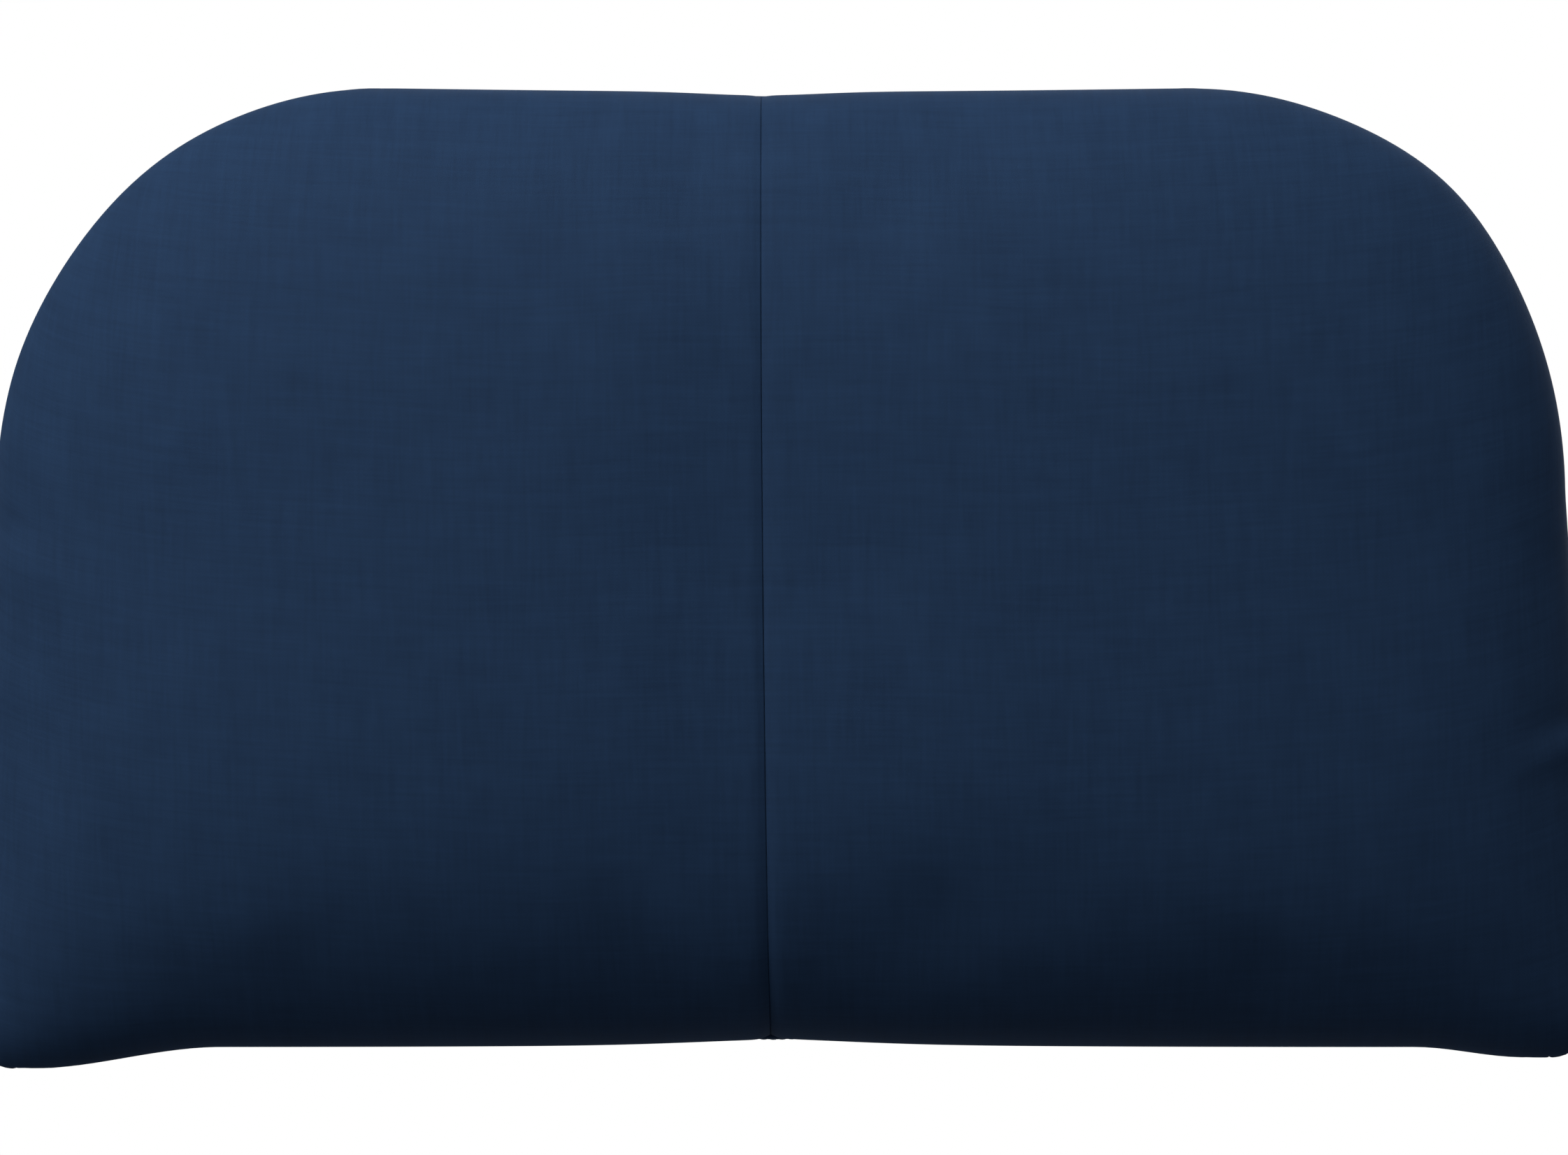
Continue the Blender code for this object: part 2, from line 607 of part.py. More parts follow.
def make_zip_rows(tape_mat, chain_mat, stop_mat, pad):
    for side, word in ((-1, "front"), (1, "rear")):
        near = ZIP_Y + side * ZIP_SLOT / 2
        far = near + side * ZIP_TAPE_WIDTH
        make_box(f"zip_tape_{word}", (-ZIP_HALF_LENGTH, min(near, far), TAPE_LOW_Z),
                 (ZIP_HALF_LENGTH, max(near, far), TAPE_TOP_Z), tape_mat, pad)
        stop_x = SLIDER_X - SLIDER_LENGTH / 2 - 1 * MM
        edges = sorted((near + side * 0.2 * MM, near + side * 2.3 * MM))
        make_box(f"zip_top_stop_{word}", (stop_x, edges[0], CHAIN_LOW_Z),
                 (stop_x - 2.5 * MM, edges[1], CHAIN_TOP_Z), stop_mat, pad)
    post_x = SLIDER_X - SLIDER_LENGTH / 2 + 1 * MM + SLIDER_POST_LENGTH
    make_box("zip_chain", (post_x + GAP, ZIP_Y - CHAIN_WIDTH / 2, CHAIN_LOW_Z),
             (CHAIN_START_X, ZIP_Y + CHAIN_WIDTH / 2, CHAIN_TOP_Z), chain_mat, pad)
    make_box("zip_bottom_stop", (CHAIN_START_X + GAP, ZIP_Y - 3 * MM, CHAIN_LOW_Z),
             (CHAIN_START_X + 3.4 * MM, ZIP_Y + 3 * MM, CHAIN_TOP_Z), stop_mat, pad)


def make_slider(metal, slider):
    """Two wings joined by a post at the opening end, side walls and a bar for the pull.

    Its own zero is at the middle of its length, on the underside of its lower wing, and its
    opening end faces its own +X, which the slider's empty turns towards the pad's -X.
    """
    half_long = SLIDER_LENGTH / 2
    half_wide = SLIDER_WIDTH / 2
    wall_in = CHAIN_WIDTH / 2 + GAP
    wing_top = SLIDER_WING
    wall_top = wing_top + GAP + CHAIN_THICK - 0.1 * MM
    upper_low = TAPE_TOP_Z + GAP - WING_LOW_Z
    upper_top = upper_low + SLIDER_WING
    body = make_box("zip_slider", (-half_long, -half_wide, 0), (half_long, half_wide, wing_top),
                    metal, slider)
    post_end = half_long - 1 * MM
    bite = SLIDER_WING / 2
    lug = 1.0 * MM
    lug_in = PULL_EYE_WIDTH / 2 + GAP
    drop = PULL_AXIS_DROP
    parts = {
        "slider_wall_front": ((-half_long + bite, -wall_in - lug, bite),
                              (half_long - 3 * MM, -wall_in, wall_top)),
        "slider_wall_rear": ((-half_long + bite, wall_in, bite),
                             (half_long - 3 * MM, wall_in + lug, wall_top)),
        "slider_post": ((post_end - SLIDER_POST_LENGTH, -0.9 * MM, bite),
                        (post_end, 0.9 * MM, upper_low + bite)),
        "slider_upper_wing": ((-half_long + 1 * MM, -half_wide + 0.5 * MM, upper_low),
                              (half_long - 0.5 * MM, half_wide - 0.5 * MM, upper_top)),
        "slider_lug_front": ((-1.1 * MM, -lug_in - lug, -drop - 1.1 * MM),
                             (1.1 * MM, -lug_in, bite)),
        "slider_lug_rear": ((-1.1 * MM, lug_in, -drop - 1.1 * MM),
                            (1.1 * MM, lug_in + lug, bite)),
    }
    for name, (low, high) in parts.items():
        combine(body, make_box(name, low, high, None, slider), "UNION")
    bar_end = lug_in + lug / 2
    bar = [(0, -bar_end), (PULL_BAR_RADIUS, -bar_end), (PULL_BAR_RADIUS, bar_end), (0, bar_end)]
    geometry = turned_geometry(bar, (0, 0, -drop), 12)
    combine(body, make_object("slider_bar", *geometry, None, slider), "UNION")


def make_pull(metal, hinge):
    """A flat tab on a round eye; its own zero is on the hinge bar's axis."""
    half = PULL_EYE_WIDTH / 2
    eye = [(0, -half), (PULL_EYE_RADIUS, -half), (PULL_EYE_RADIUS, half), (0, half)]
    pull = make_object("zip_pull", *turned_geometry(eye, (0, 0, 0), ROUND_STEPS), metal, hinge)
    thick = PULL_THICK / 2
    neck_end = 5 * MM
    neck = make_box("pull_neck", (-neck_end - 1 * MM, -half + 0.1 * MM, -thick),
                    (-0.5 * MM, half - 0.1 * MM, thick), None, hinge)
    combine(pull, neck, "UNION")
    wide = PULL_WIDTH / 2
    narrow = wide - 1.2 * MM
    plan = [(-neck_end, -narrow + 0.6 * MM), (-neck_end - 2 * MM, -narrow),
            (-PULL_LENGTH + 2.5 * MM, -wide), (-PULL_LENGTH, -wide + 2.5 * MM),
            (-PULL_LENGTH, wide - 2.5 * MM), (-PULL_LENGTH + 2.5 * MM, wide),
            (-neck_end - 2 * MM, narrow), (-neck_end, narrow - 0.6 * MM)]
    low = list(range(len(plan)))
    high = list(range(len(plan), 2 * len(plan)))
    verts = [(x, y, z) for z in (-thick + 0.05 * MM, thick - 0.05 * MM) for x, y in plan]
    faces = ring_faces(low, high) + [tuple(low), tuple(high)]
    combine(pull, make_object("pull_tab", verts, faces, None, hinge), "UNION")
    bore = [(0, -half - 1 * MM), (PULL_EYE_BORE, -half - 1 * MM),
            (PULL_EYE_BORE, half + 1 * MM), (0, half + 1 * MM)]
    geometry = turned_geometry(bore, (0, 0, 0), 12)
    combine(pull, make_object("pull_bore", *geometry, None, hinge), "DIFFERENCE")


def main():
    clear_scene()
    navy = make_material("navy_cloth_front", (0.016, 0.035, 0.075), 0.62)
    navy_band = make_material("navy_cloth_band", (0.014, 0.031, 0.068), 0.65)
    rear_cloth = make_material("rear_cloth", (0.012, 0.014, 0.018), 0.8)
    tape = make_material("seam_tape_cloth", (0.02, 0.03, 0.05), 0.75)
    zip_cloth = make_material("zip_tape_cloth", (0.012, 0.025, 0.055), 0.8)
    strike = make_material("strike_foam", (0.78, 0.74, 0.60), 0.95)
    core = make_material("core_foam", (0.10, 0.10, 0.11), 0.9)
    base = make_material("base_foam", (0.33, 0.36, 0.42), 0.95)
    edge = make_material("edge_foam", (0.70, 0.68, 0.62), 0.95)
    wadding = make_material("wadding_fibre", (0.86, 0.86, 0.84), 0.95)
    wood = make_material("birch_plywood", (0.62, 0.46, 0.28), 0.6)
    aluminium = make_material("mill_aluminium", (0.77, 0.78, 0.80), 0.35, 1.0)
    steel = make_material("zinc_steel", (0.62, 0.62, 0.60), 0.32, 1.0)
    rubber = make_material("black_rubber", (0.02, 0.02, 0.02), 0.8)
    brass = make_material("eyelet_brass", (0.72, 0.53, 0.25), 0.3, 1.0)
    teeth = make_material("zip_teeth", (0.02, 0.035, 0.07), 0.45)
    zip_metal = make_material("zip_metal", (0.30, 0.30, 0.31), 0.35, 1.0)

    pad = make_empty("pad_body", (0, 0, 0))
    slider = make_empty("slider_body", (SLIDER_X, ZIP_Y, WING_LOW_Z), pad)
    slider.rotation_euler.z = math.pi
    hinge = make_empty("pull_hinge", (0, 0, -PULL_AXIS_DROP), slider)

    make_rails(steel, aluminium, pad)
    make_board_fasteners(steel, pad)
    make_bumpers(rubber, steel, pad)
    make_board(wood, pad)
    make_foams(edge, base, core, strike, wadding, pad)
    make_cover(navy, navy_band, rear_cloth, tape, pad)
    make_eyelets(brass, pad)
    make_zip_rows(zip_cloth, teeth, zip_metal, pad)
    make_slider(zip_metal, slider)
    make_pull(zip_metal, hinge)


main()
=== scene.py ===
"""Looks of the wall-hung punch pad: sewn cloth, zip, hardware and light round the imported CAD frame.

Units are metres.  The pad's front faces -Y, the wall is the plane y = 0 and +Z is up.
"""
import math

import bmesh
import bpy
import numpy as np
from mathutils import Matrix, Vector


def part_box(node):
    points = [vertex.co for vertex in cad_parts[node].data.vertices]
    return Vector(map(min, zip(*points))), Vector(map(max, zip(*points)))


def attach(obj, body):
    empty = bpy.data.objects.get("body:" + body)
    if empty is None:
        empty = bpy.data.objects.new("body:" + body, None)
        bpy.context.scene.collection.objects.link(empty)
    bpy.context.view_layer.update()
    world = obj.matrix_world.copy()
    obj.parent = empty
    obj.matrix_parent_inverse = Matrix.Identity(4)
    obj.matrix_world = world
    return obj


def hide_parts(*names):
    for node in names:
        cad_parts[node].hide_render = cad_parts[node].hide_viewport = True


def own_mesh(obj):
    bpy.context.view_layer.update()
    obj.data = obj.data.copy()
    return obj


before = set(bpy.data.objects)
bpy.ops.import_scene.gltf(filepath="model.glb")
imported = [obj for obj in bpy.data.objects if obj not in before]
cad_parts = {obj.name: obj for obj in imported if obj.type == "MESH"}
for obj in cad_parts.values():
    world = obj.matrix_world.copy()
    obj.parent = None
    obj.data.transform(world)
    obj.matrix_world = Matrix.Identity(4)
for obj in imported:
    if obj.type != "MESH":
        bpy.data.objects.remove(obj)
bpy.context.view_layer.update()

MM = 0.001

# ---------------------------------------------------------------- places read from the frame

panel_low, panel_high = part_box("rear_panel")
front_low, front_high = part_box("cover_front_left")
hem_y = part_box("bottom_band_front")[1].y
rear_hem_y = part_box("bottom_band_rear")[0].y
PAD_TOP = panel_high.z
PAD_BOTTOM = panel_low.z
PAD_HALF = panel_high.x
REAR_Y = panel_high.y
RIM_Y = front_high.y
CROWN_Y = front_low.y
MID_Z = (PAD_TOP + PAD_BOTTOM) / 2
HALF_HEIGHT = (PAD_TOP - PAD_BOTTOM) / 2
DOME_DEPTH = RIM_Y - CROWN_Y

# Outline of the front, as the CAD cover has it
TOP_HALF = 165 * MM
SHOULDER_A = 153 * MM
SHOULDER_B = 165 * MM
CORNER_RADIUS = 18 * MM
SIDE_TOP = TOP_HALF + SHOULDER_A
SIDE_FLARE = PAD_HALF - SIDE_TOP
SHOULDER_Z = PAD_TOP - SHOULDER_B
BAND_END_X = PAD_HALF - CORNER_RADIUS

CROWN_ACROSS = 3.4           # how square the crown is from side to side
CROWN_UP = 3.3               # how square it is from bottom to top
PADDING_UP = 2.9             # the same, for the padding under the cover

# Thicknesses of cloth
CLOTH = 1.1 * MM             # front panels and side band
BAND_CLOTH = 0.9 * MM        # bottom bands and the zip's end tabs
REAR_CLOTH = 1.0 * MM
SEAM_TAPE = 0.6 * MM         # tape behind the centre seam
ZIP_TAPE = 0.6 * MM
WADDING_THICK = 3.4 * MM

# Seams, hems and stitches
SEAM_ROLL = 2.0 * MM         # radius to which cloth rolls in at a seam
SEAM_LIP = 0.45 * MM         # the same, for the front's two halves at the centre seam
END_ROLL = 1.0 * MM          # the same, where the side band meets the bottom bands
SEAM_GAP = 0.12 * MM         # half the gap between two cloths sewn edge to edge
BUTTED = 0.02 * MM           # the same, where the front's two halves are drawn tight together
REAR_SEAM = 1.6 * MM         # how far the rear seam lies in from the outline and the back
CORD_RADIUS = 1.0 * MM       # radius of the folded seam allowances
VALLEY = 1.9 * MM            # depth of the hollow along the centre seam, at the bottom
VALLEY_FALL = 1.3 * MM       # how much shallower it is at the top
VALLEY_REACH = 3.1 * MM      # how far from the seam it has mostly faded
HEM_RADIUS = 1.15 * MM       # radius of the bottom bands' folded hems
HEM_STITCHES = (3 * MM, 6.6 * MM)  # two rows, by their distance from the fold
BAND_STITCH = 5.5 * MM       # the side band's row of stitches, from the rear seam
REAR_STITCH = 7 * MM         # the rear panel's row of stitches, from the outline
STITCH_LENGTH = 2.9 * MM
STITCH_GAP = 1.0 * MM
THREAD_RADIUS = 0.22 * MM

# Cloth between its seams
SWELL_CAP = 8 * MM           # most that the simulated cloth may move
SWELL_SMOOTHING = 30         # passes of smoothing over the simulated cloth's movement
BAND_BELLY = 0.9 * MM        # how far the side band stands out
REAR_SWELL = 2.6 * MM        # how far the rear panel stands out, at most
TAPE_HALF_WIDTH = 9 * MM     # half width of the tape behind the centre seam
FOAM_EDGE = 1.5 * MM         # how far the foams' cut edges are softened

# Zip
TAB_Y = (-41 * MM, -19 * MM)  # front and rear edges of the tabs over its two ends
TAB_DROP = 1.6 * MM          # how far the tabs lie below the bottom bands
TAB_OVERLAP = 4 * MM         # how far they cover the ends of the tapes
BEAD = 0.42 * MM             # radius of the bead along each tape's inner edge
TOOTH_PITCH = 2.5 * MM

# Fineness of the meshes
STEP = 5 * MM                # spacing of the front's cloth grid
PADDING_STEPS = 180          # points round each row of the padding
DOME_STEPS = 14              # rows from a crowned layer's centre to its rim


# ---------------------------------------------------------------- small maths

def smooth_step(value):
    t = np.clip(value, 0, 1)
    return t * t * (3 - 2 * t)


def bell(distance, reach):
    """1 at no distance, fading smoothly to nothing over about twice the reach."""
    return np.exp(-(distance / reach) ** 2)


def ease(value, start, reach):
    """0 up to the start and 1 from its reach onwards, smoothly; start and reach are in mm."""
    return smooth_step((value - start * MM) / (reach * MM))


def along(points, fractions):
    """Points at the given fractions of a line's length."""
    points = np.asarray(points, float)
    steps = np.linalg.norm(np.diff(points, axis=0), axis=1)
    length = np.concatenate([[0], np.cumsum(steps)])
    length /= length[-1]
    return np.column_stack([np.interp(fractions, length, column) for column in points.T])


def line_length(points):
    return float(np.linalg.norm(np.diff(np.asarray(points, float), axis=0), axis=1).sum())


def half_outline():
    """The outline's +X half, from the top centre round to the bottom centre, in four runs."""
    flat = np.array([(0, PAD_TOP), (TOP_HALF, PAD_TOP)])
    turn = np.linspace(math.pi / 2, 0, 121)
    shoulder = np.column_stack([TOP_HALF + SHOULDER_A * np.cos(turn),
                                SHOULDER_Z + SHOULDER_B * np.sin(turn)])
    corner_z = PAD_BOTTOM + CORNER_RADIUS
    turn = np.linspace(0, -math.pi / 2, 41)
    corner = np.column_stack([BAND_END_X + CORNER_RADIUS * np.cos(turn),
                              corner_z + CORNER_RADIUS * np.sin(turn)])
    base = np.array([(BAND_END_X, PAD_BOTTOM), (0, PAD_BOTTOM)])
    return flat, shoulder, corner, base


def band_path():
    """The side band's line, from the lower left corner over the top to the lower right one."""
    flat, shoulder, corner, _ = half_outline()
    half = np.concatenate([flat, shoulder[1:], corner])
    return np.concatenate([half[:0:-1] * (-1, 1), half])


def directions(line, closed):
    """The way a line runs at each of its points."""
    if closed:
        return np.roll(line, -1, axis=0) - np.roll(line, 1, axis=0)
    return np.gradient(line, axis=0)


def line_normals(line, closed=False):
    """Unit vectors to the left of a line in the (x, z) plane: outward on the pad's outline."""
    run = directions(line, closed)
    run /= np.linalg.norm(run, axis=1, keepdims=True)
    return np.column_stack([-run[:, 1], run[:, 0]])


def closed_outline(count):
    """The whole outline as evenly spaced points, clockwise seen from the front."""
    path = band_path()
    loop = np.concatenate([path, path[:1]])
    return along(loop, np.arange(count) / count)


def inset_outline(set_in, count=PADDING_STEPS):
    """The outline set in by a distance."""
    full = closed_outline(count)
    return full - line_normals(full, closed=True) * set_in


def half_width(z):
    """Half the pad's width at height z."""
    z = np.asarray(z, float)
    rise = np.clip((z - SHOULDER_Z) / SHOULDER_B, 0, 1)
    shoulder = TOP_HALF + SHOULDER_A * np.sqrt(1 - rise ** 2)
    corner_z = PAD_BOTTOM + CORNER_RADIUS
    side = SIDE_TOP + SIDE_FLARE * np.clip((SHOULDER_Z - z) / (SHOULDER_Z - corner_z), 0, 1)
    drop = np.clip((corner_z - z) / CORNER_RADIUS, 0, 1)
    corner = BAND_END_X + CORNER_RADIUS * np.sqrt(1 - drop ** 2)
    return np.where(z > SHOULDER_Z, shoulder, np.where(z < corner_z, corner, side))


def crown(x, z, square_up=CROWN_UP):
    """How far the padded front stands out at (x, z), from 0 at the rim to 1 in the middle."""
    across = np.clip(np.abs(x) / half_width(z), 0, 1)
    up = np.clip(np.abs(z - MID_Z) / HALF_HEIGHT, 0, 1)
    return np.sqrt((1 - across ** CROWN_ACROSS) * (1 - up ** square_up))


def seam_line(z):
    """The centre seam lies a little to the left, and curves further left as it goes up."""
    rise = np.clip((np.asarray(z, float) - PAD_BOTTOM) / (2 * HALF_HEIGHT), 0, 1)
    return (-6.4 - 3.8 * (1 - (1 - rise) ** 2)) * MM


def settle(points):
    """Hang and pull of the finished cover, for every soft piece alike."""
    x, y, z = points[..., 0], points[..., 1], points[..., 2]
    from_seam = np.abs(x - seam_line(z))
    # The top edge sags towards its middle, and more where the seam pinches it
    sag = 1.6 * MM * (1 - np.clip(np.abs(x) / TOP_HALF, 0, 1) ** 2)
    sag += 1.5 * MM * bell(from_seam, 32 * MM)
    sag *= ease(-y, 14, 52)
    # The bottom edge is drawn up, most at the seam, and its two corners hang down
    lift = 1.7 * MM + 2.2 * MM * np.exp(-np.abs(x) / (70 * MM))
    lift += 1.2 * MM * bell(from_seam, 48 * MM)
    lift *= ease(-y, 22, 44)
    lift -= ease(-y, 38, 24) * (8.9 * MM * ease(-x, 228, 76) + 4.4 * MM * ease(x, 255, 46))
    moved = points.copy()
    moved[..., 2] += bell(z - PAD_BOTTOM, 40 * MM) * lift - bell(PAD_TOP - z, 45 * MM) * sag
    # The lower left side leans out, the right side is drawn in, and the shoulders are full
    moved[..., 0] -= ease(-z, -95, 90) * 3.2 * MM * ease(-x, 120, 180)
    moved[..., 0] -= 1.3 * MM * ease(x, 0, 300) * bell(z + 30 * MM, 55 * MM)
    for side, push, middle in ((-1, 1.1 * MM, 256 * MM), (1, 2.3 * MM, 269 * MM)):
        shoulder = push * bell(np.hypot(x - side * middle, z - 87 * MM), 46 * MM)
        moved[..., 0] += side * shoulder
        moved[..., 2] += shoulder
    return moved


def roll_in(distance, radius=SEAM_ROLL):
    """How far cloth dips at this distance from a seam, along a quarter circle."""
    t = np.clip(distance / radius, 0, 1)
    return radius * (1 - np.sqrt(1 - (1 - t) ** 2))


def growing(first, growth, step):
    """Distances from a seam that start fine and grow until they reach the grid's step."""
    marks = [0.0]
    gap = first
    while gap < step:
        marks.append(marks[-1] + gap)
        gap *= growth
    return marks


def rim_marks(length, power):
    """As growing(), for the steep rim of the crown: even along the cloth, not in plan."""
    steepness = length / power / DOME_DEPTH ** 2
    marks = [0.0]
    arc = 0.0
    gap = 0.5 * MM
    while True:
        arc += gap
        gap *= 1.22
        mark = steepness * arc ** 2
        if mark - marks[-1] >= STEP:
            return marks
        marks.append(mark)


def fractions(length, low_marks, high_marks, step=STEP):
    """Fractions from 0 to 1: fine marks at each end, and even steps between them."""
    low = list(low_marks)
    high = [length - mark for mark in high_marks][::-1]
    count = max(2, round((high[0] - low[-1]) / step))
    middle = list(np.linspace(low[-1], high[0], count + 1))[1:-1]
    return np.array(low + middle + high) / length


SEAM_MARKS = growing(0.25 * MM, 1.3, STEP)


def round_node(node):
    """A round node's centre x and z, its radius, and its two ends along Y."""
    low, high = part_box(node)
    return (low.x + high.x) / 2, (low.z + high.z) / 2, (high.x - low.x) / 2, low.y, high.y


def level(loop, y):
    """A line of (x, z) points as points in space, at one y or one y for each."""
    return np.column_stack([loop[:, 0], np.broadcast_to(y, len(loop)), loop[:, 1]])


# ---------------------------------------------------------------- meshes

def grid_normals(points, flip=False):
    """Unit normals of a grid of points."""
    du = np.gradient(points, axis=0)
    dv = np.gradient(points, axis=1)
    normal = np.cross(du, dv)
    normal /= np.maximum(np.linalg.norm(normal, axis=-1, keepdims=True), 1e-12)
    return -normal if flip else normal


def facing(points, column, direction):
    """Normals of a grid, turned so that the middle one in this column faces a direction."""
    normals = grid_normals(points)
    outward = np.dot(normals[len(points) // 2, column], direction) > 0
    return normals if outward else -normals


def grid_faces(nu, nv):
    index = np.arange(nu * nv).reshape(nu, nv)
    quads = np.stack([index[:-1, :-1], index[1:, :-1], index[1:, 1:], index[:-1, 1:]], axis=-1)
    return index, quads.reshape(-1, 4)


def add_object(name, data):
    """A new object in the scene."""
    added = bpy.data.objects.new(name, data)
    bpy.context.scene.collection.objects.link(added)
    return added


def new_piece(name, verts, faces, material, uv=None, sharp=None):
    """A mesh object whose closed shells face out, with smooth shading."""
    mesh = bpy.data.meshes.new(name)
    mesh.from_pydata(np.asarray(verts).tolist(), [], [list(map(int, face)) for face in faces])
    if uv is not None:
        layer = mesh.uv_layers.new(name="cloth")
        corners = np.zeros(len(mesh.loops), int)
        mesh.loops.foreach_get("vertex_index", corners)
        layer.data.foreach_set("uv", np.asarray(uv)[corners].ravel())
    bm = bmesh.new()
    bm.from_mesh(mesh)
    bmesh.ops.recalc_face_normals(bm, faces=bm.faces)
    bm.to_mesh(mesh)
    bm.free()
    mesh.shade_smooth()
    if sharp:
        mesh.set_sharp_from_angle(angle=math.radians(sharp))
    mesh.materials.append(material)
    return add_object(name, mesh)


def place(piece, body, slot, *nodes):
    """Say which body a piece rides on and hide the CAD nodes it stands for; the slot is not used."""
    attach(piece, body)
    if nodes:
        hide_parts(*nodes)


def place_soft(piece, slot, node):
    """As place(), for a padded piece of the pad."""
    place(piece, "pad", slot, node)


def cloth_shell(name, points, normals, material, thick=CLOTH, uv=None):
    """A closed cloth shell: the grid's outer face, an inner face set in by its thickness, edges."""
    if uv is None:
        uv = surface_uv(points)
    nu, nv = points.shape[:2]
    inner = points - normals * thick
    verts = np.concatenate([points.reshape(-1, 3), inner.reshape(-1, 3)])
    index, quads = grid_faces(nu, nv)
    shift = nu * nv
    ring = np.concatenate([index[:, 0], index[-1, 1:], index[-2::-1, -1], index[0, -2:0:-1]])
    following = np.roll(ring, -1)
    edges = np.stack([following, ring, ring + shift, following + shift], axis=-1)
    faces = np.concatenate([quads, (quads + shift)[:, ::-1], edges])
    flat = uv.reshape(-1, 2)
    return new_piece(name, verts, faces, material, np.concatenate([flat, flat]))


def surface_uv(points):
    """Cloth coordinates in metres, measured along the lines of a grid."""
    across = np.linalg.norm(np.diff(points, axis=0), axis=-1)
    up = np.linalg.norm(np.diff(points, axis=1), axis=-1)
    u = np.concatenate([np.zeros((1, points.shape[1])), np.cumsum(across, axis=0)])
    v = np.concatenate([np.zeros((points.shape[0], 1)), np.cumsum(up, axis=1)], axis=1)
    return np.stack([u, v], axis=-1)


def loft_parts(rows, closed):
    """Points and faces of a body through rows of points, with its end rows filled or joined."""
    count = len(rows[0])
    verts = np.concatenate([np.asarray(row, float) for row in rows])
    faces = []
    pairs = len(rows) if closed else len(rows) - 1
    for i in range(pairs):
        first = i * count
        second = (i + 1) % len(rows) * count
        for k in range(count):
            after = (k + 1) % count
            faces.append((first + k, first + after, second + after, second + k))
    if not closed:
        for base in (0, (len(rows) - 1) * count):
            middle = len(verts)
            verts = np.concatenate([verts, [verts[base:base + count].mean(axis=0)]])
            faces += [(base + k, base + (k + 1) % count, middle) for k in range(count)]
    return verts, faces


def loft(name, rows, material, closed=False, sharp=None):
    verts, faces = loft_parts(rows, closed)
    return new_piece(name, verts, faces, material, sharp=sharp)


def join_rows(name, blocks, material, sharp=None):
    """Many small closed blocks of equal build in one mesh."""
    verts = np.array(blocks, float)
    number, levels, count = verts.shape[:3]
    ring = np.arange(count)
    after = np.roll(ring, -1)
    sides = [np.stack([ring, after, after + count, ring + count], axis=1) + level_number * count
             for level_number in range(levels - 1)]
    one = np.concatenate(sides).tolist()
    one += [ring.tolist(), (ring + (levels - 1) * count).tolist()]
    faces = [[index + block * levels * count for index in face]
             for block in range(number) for face in one]
    return new_piece(name, verts.reshape(-1, 3), faces, material, sharp=sharp)


def arc_rows(centre_radius, centre_y, radius, first, last, count):
    """Rows of a rounded edge: an arc from one angle to another, in degrees from the radial."""
    turn = np.radians(np.linspace(first, last, count))
    return [(centre_radius + radius * math.cos(a), centre_y + radius * math.sin(a)) for a in turn]


def stitches(name, line, normals, material, slot):
    """A row of lockstitches along a line on cloth, each a short thread that dips at its ends."""
    count = int(line_length(line) / (STITCH_LENGTH + STITCH_GAP))
    share = STITCH_LENGTH * count / line_length(line)
    # One stitch: where along it, and its height and thickness there in thread radii
    stitch = np.array([(0.0, -1.0, 0.35), (0.10, -0.3, 0.9), (0.5, 0.1, 1.0),
                       (0.90, -0.3, 0.9), (1.0, -1.0, 0.35)])
    where, rise, thick = stitch.T
    starts = ((np.arange(count)[:, None] + 0.5 - share / 2 + share * where) / count).ravel()
    centres = along(line, starts).reshape(count, -1, 3)
    up = np.stack([np.interp(starts, np.linspace(0, 1, len(line)), normals[:, k])
                   for k in range(3)], axis=1).reshape(centres.shape)
    up /= np.linalg.norm(up, axis=-1, keepdims=True)
    run = np.gradient(centres, axis=1)
    run /= np.linalg.norm(run, axis=-1, keepdims=True)
    side = np.cross(run, up)
    turn = 2 * np.pi * np.arange(6)[:, None] / 6
    centres = centres + up * rise[:, None] * THREAD_RADIUS
    reach = thick[:, None, None] * THREAD_RADIUS
    rings = centres[:, :, None] + reach * (np.cos(turn) * side[:, :, None]
                                           + np.sin(turn) * up[:, :, None])
    place(join_rows(name, rings, material), "pad", slot)


# ---------------------------------------------------------------- front panels

def front_map(us, vs):
    """(x, z) of a half front: u from the centre seam to the side, v from the bottom to the top."""
    flat, shoulder, corner, base = half_outline()
    mid_shoulder = len(shoulder) // 2
    mid_corner = len(corner) // 2
    top = along(np.concatenate([flat, shoulder[1:mid_shoulder + 1]]), us)
    side = np.concatenate([shoulder[mid_shoulder:], corner[:mid_corner + 1]])[::-1]
    side = along(side, vs)
    bottom = along(np.concatenate([corner[mid_corner:], base[1:]])[::-1], us)
    seam = np.stack([np.zeros_like(vs), PAD_BOTTOM + (PAD_TOP - PAD_BOTTOM) * vs], axis=1)
    u = us[:, None, None]
    v = vs[None, :, None]
    across = (1 - v) * bottom[:, None] + v * top[:, None]
    up = (1 - u) * seam[None] + u * side[None]
    corners = ((1 - u) * (1 - v) * bottom[0] + u * (1 - v) * bottom[-1]
               + (1 - u) * v * top[0] + u * v * top[-1])
    return across + up - corners


def front_base(us, vs, side):
    """The plain crowned surface of one half, before simulation, seams and hang."""
    plan = front_map(us, vs)
    x, z = plan[..., 0], plan[..., 1]
    y = RIM_Y - DOME_DEPTH * crown(x, z)
    fade = np.clip(1 - x / TOP_HALF, 0, 1) ** 1.5
    return np.stack([side * x + fade * seam_line(z), y, z], axis=-1)


CLOTH_SETTINGS = {
    "quality": 7, "mass": 0.25, "tension_stiffness": 22, "compression_stiffness": 22,
    "shear_stiffness": 9, "bending_stiffness": 14, "vertex_group_mass": "held",
    "pin_stiffness": 6, "shrink_min": -0.008, "use_pressure": True,
    "uniform_pressure_force": 3.2}
CLOTH_FRAMES = 20


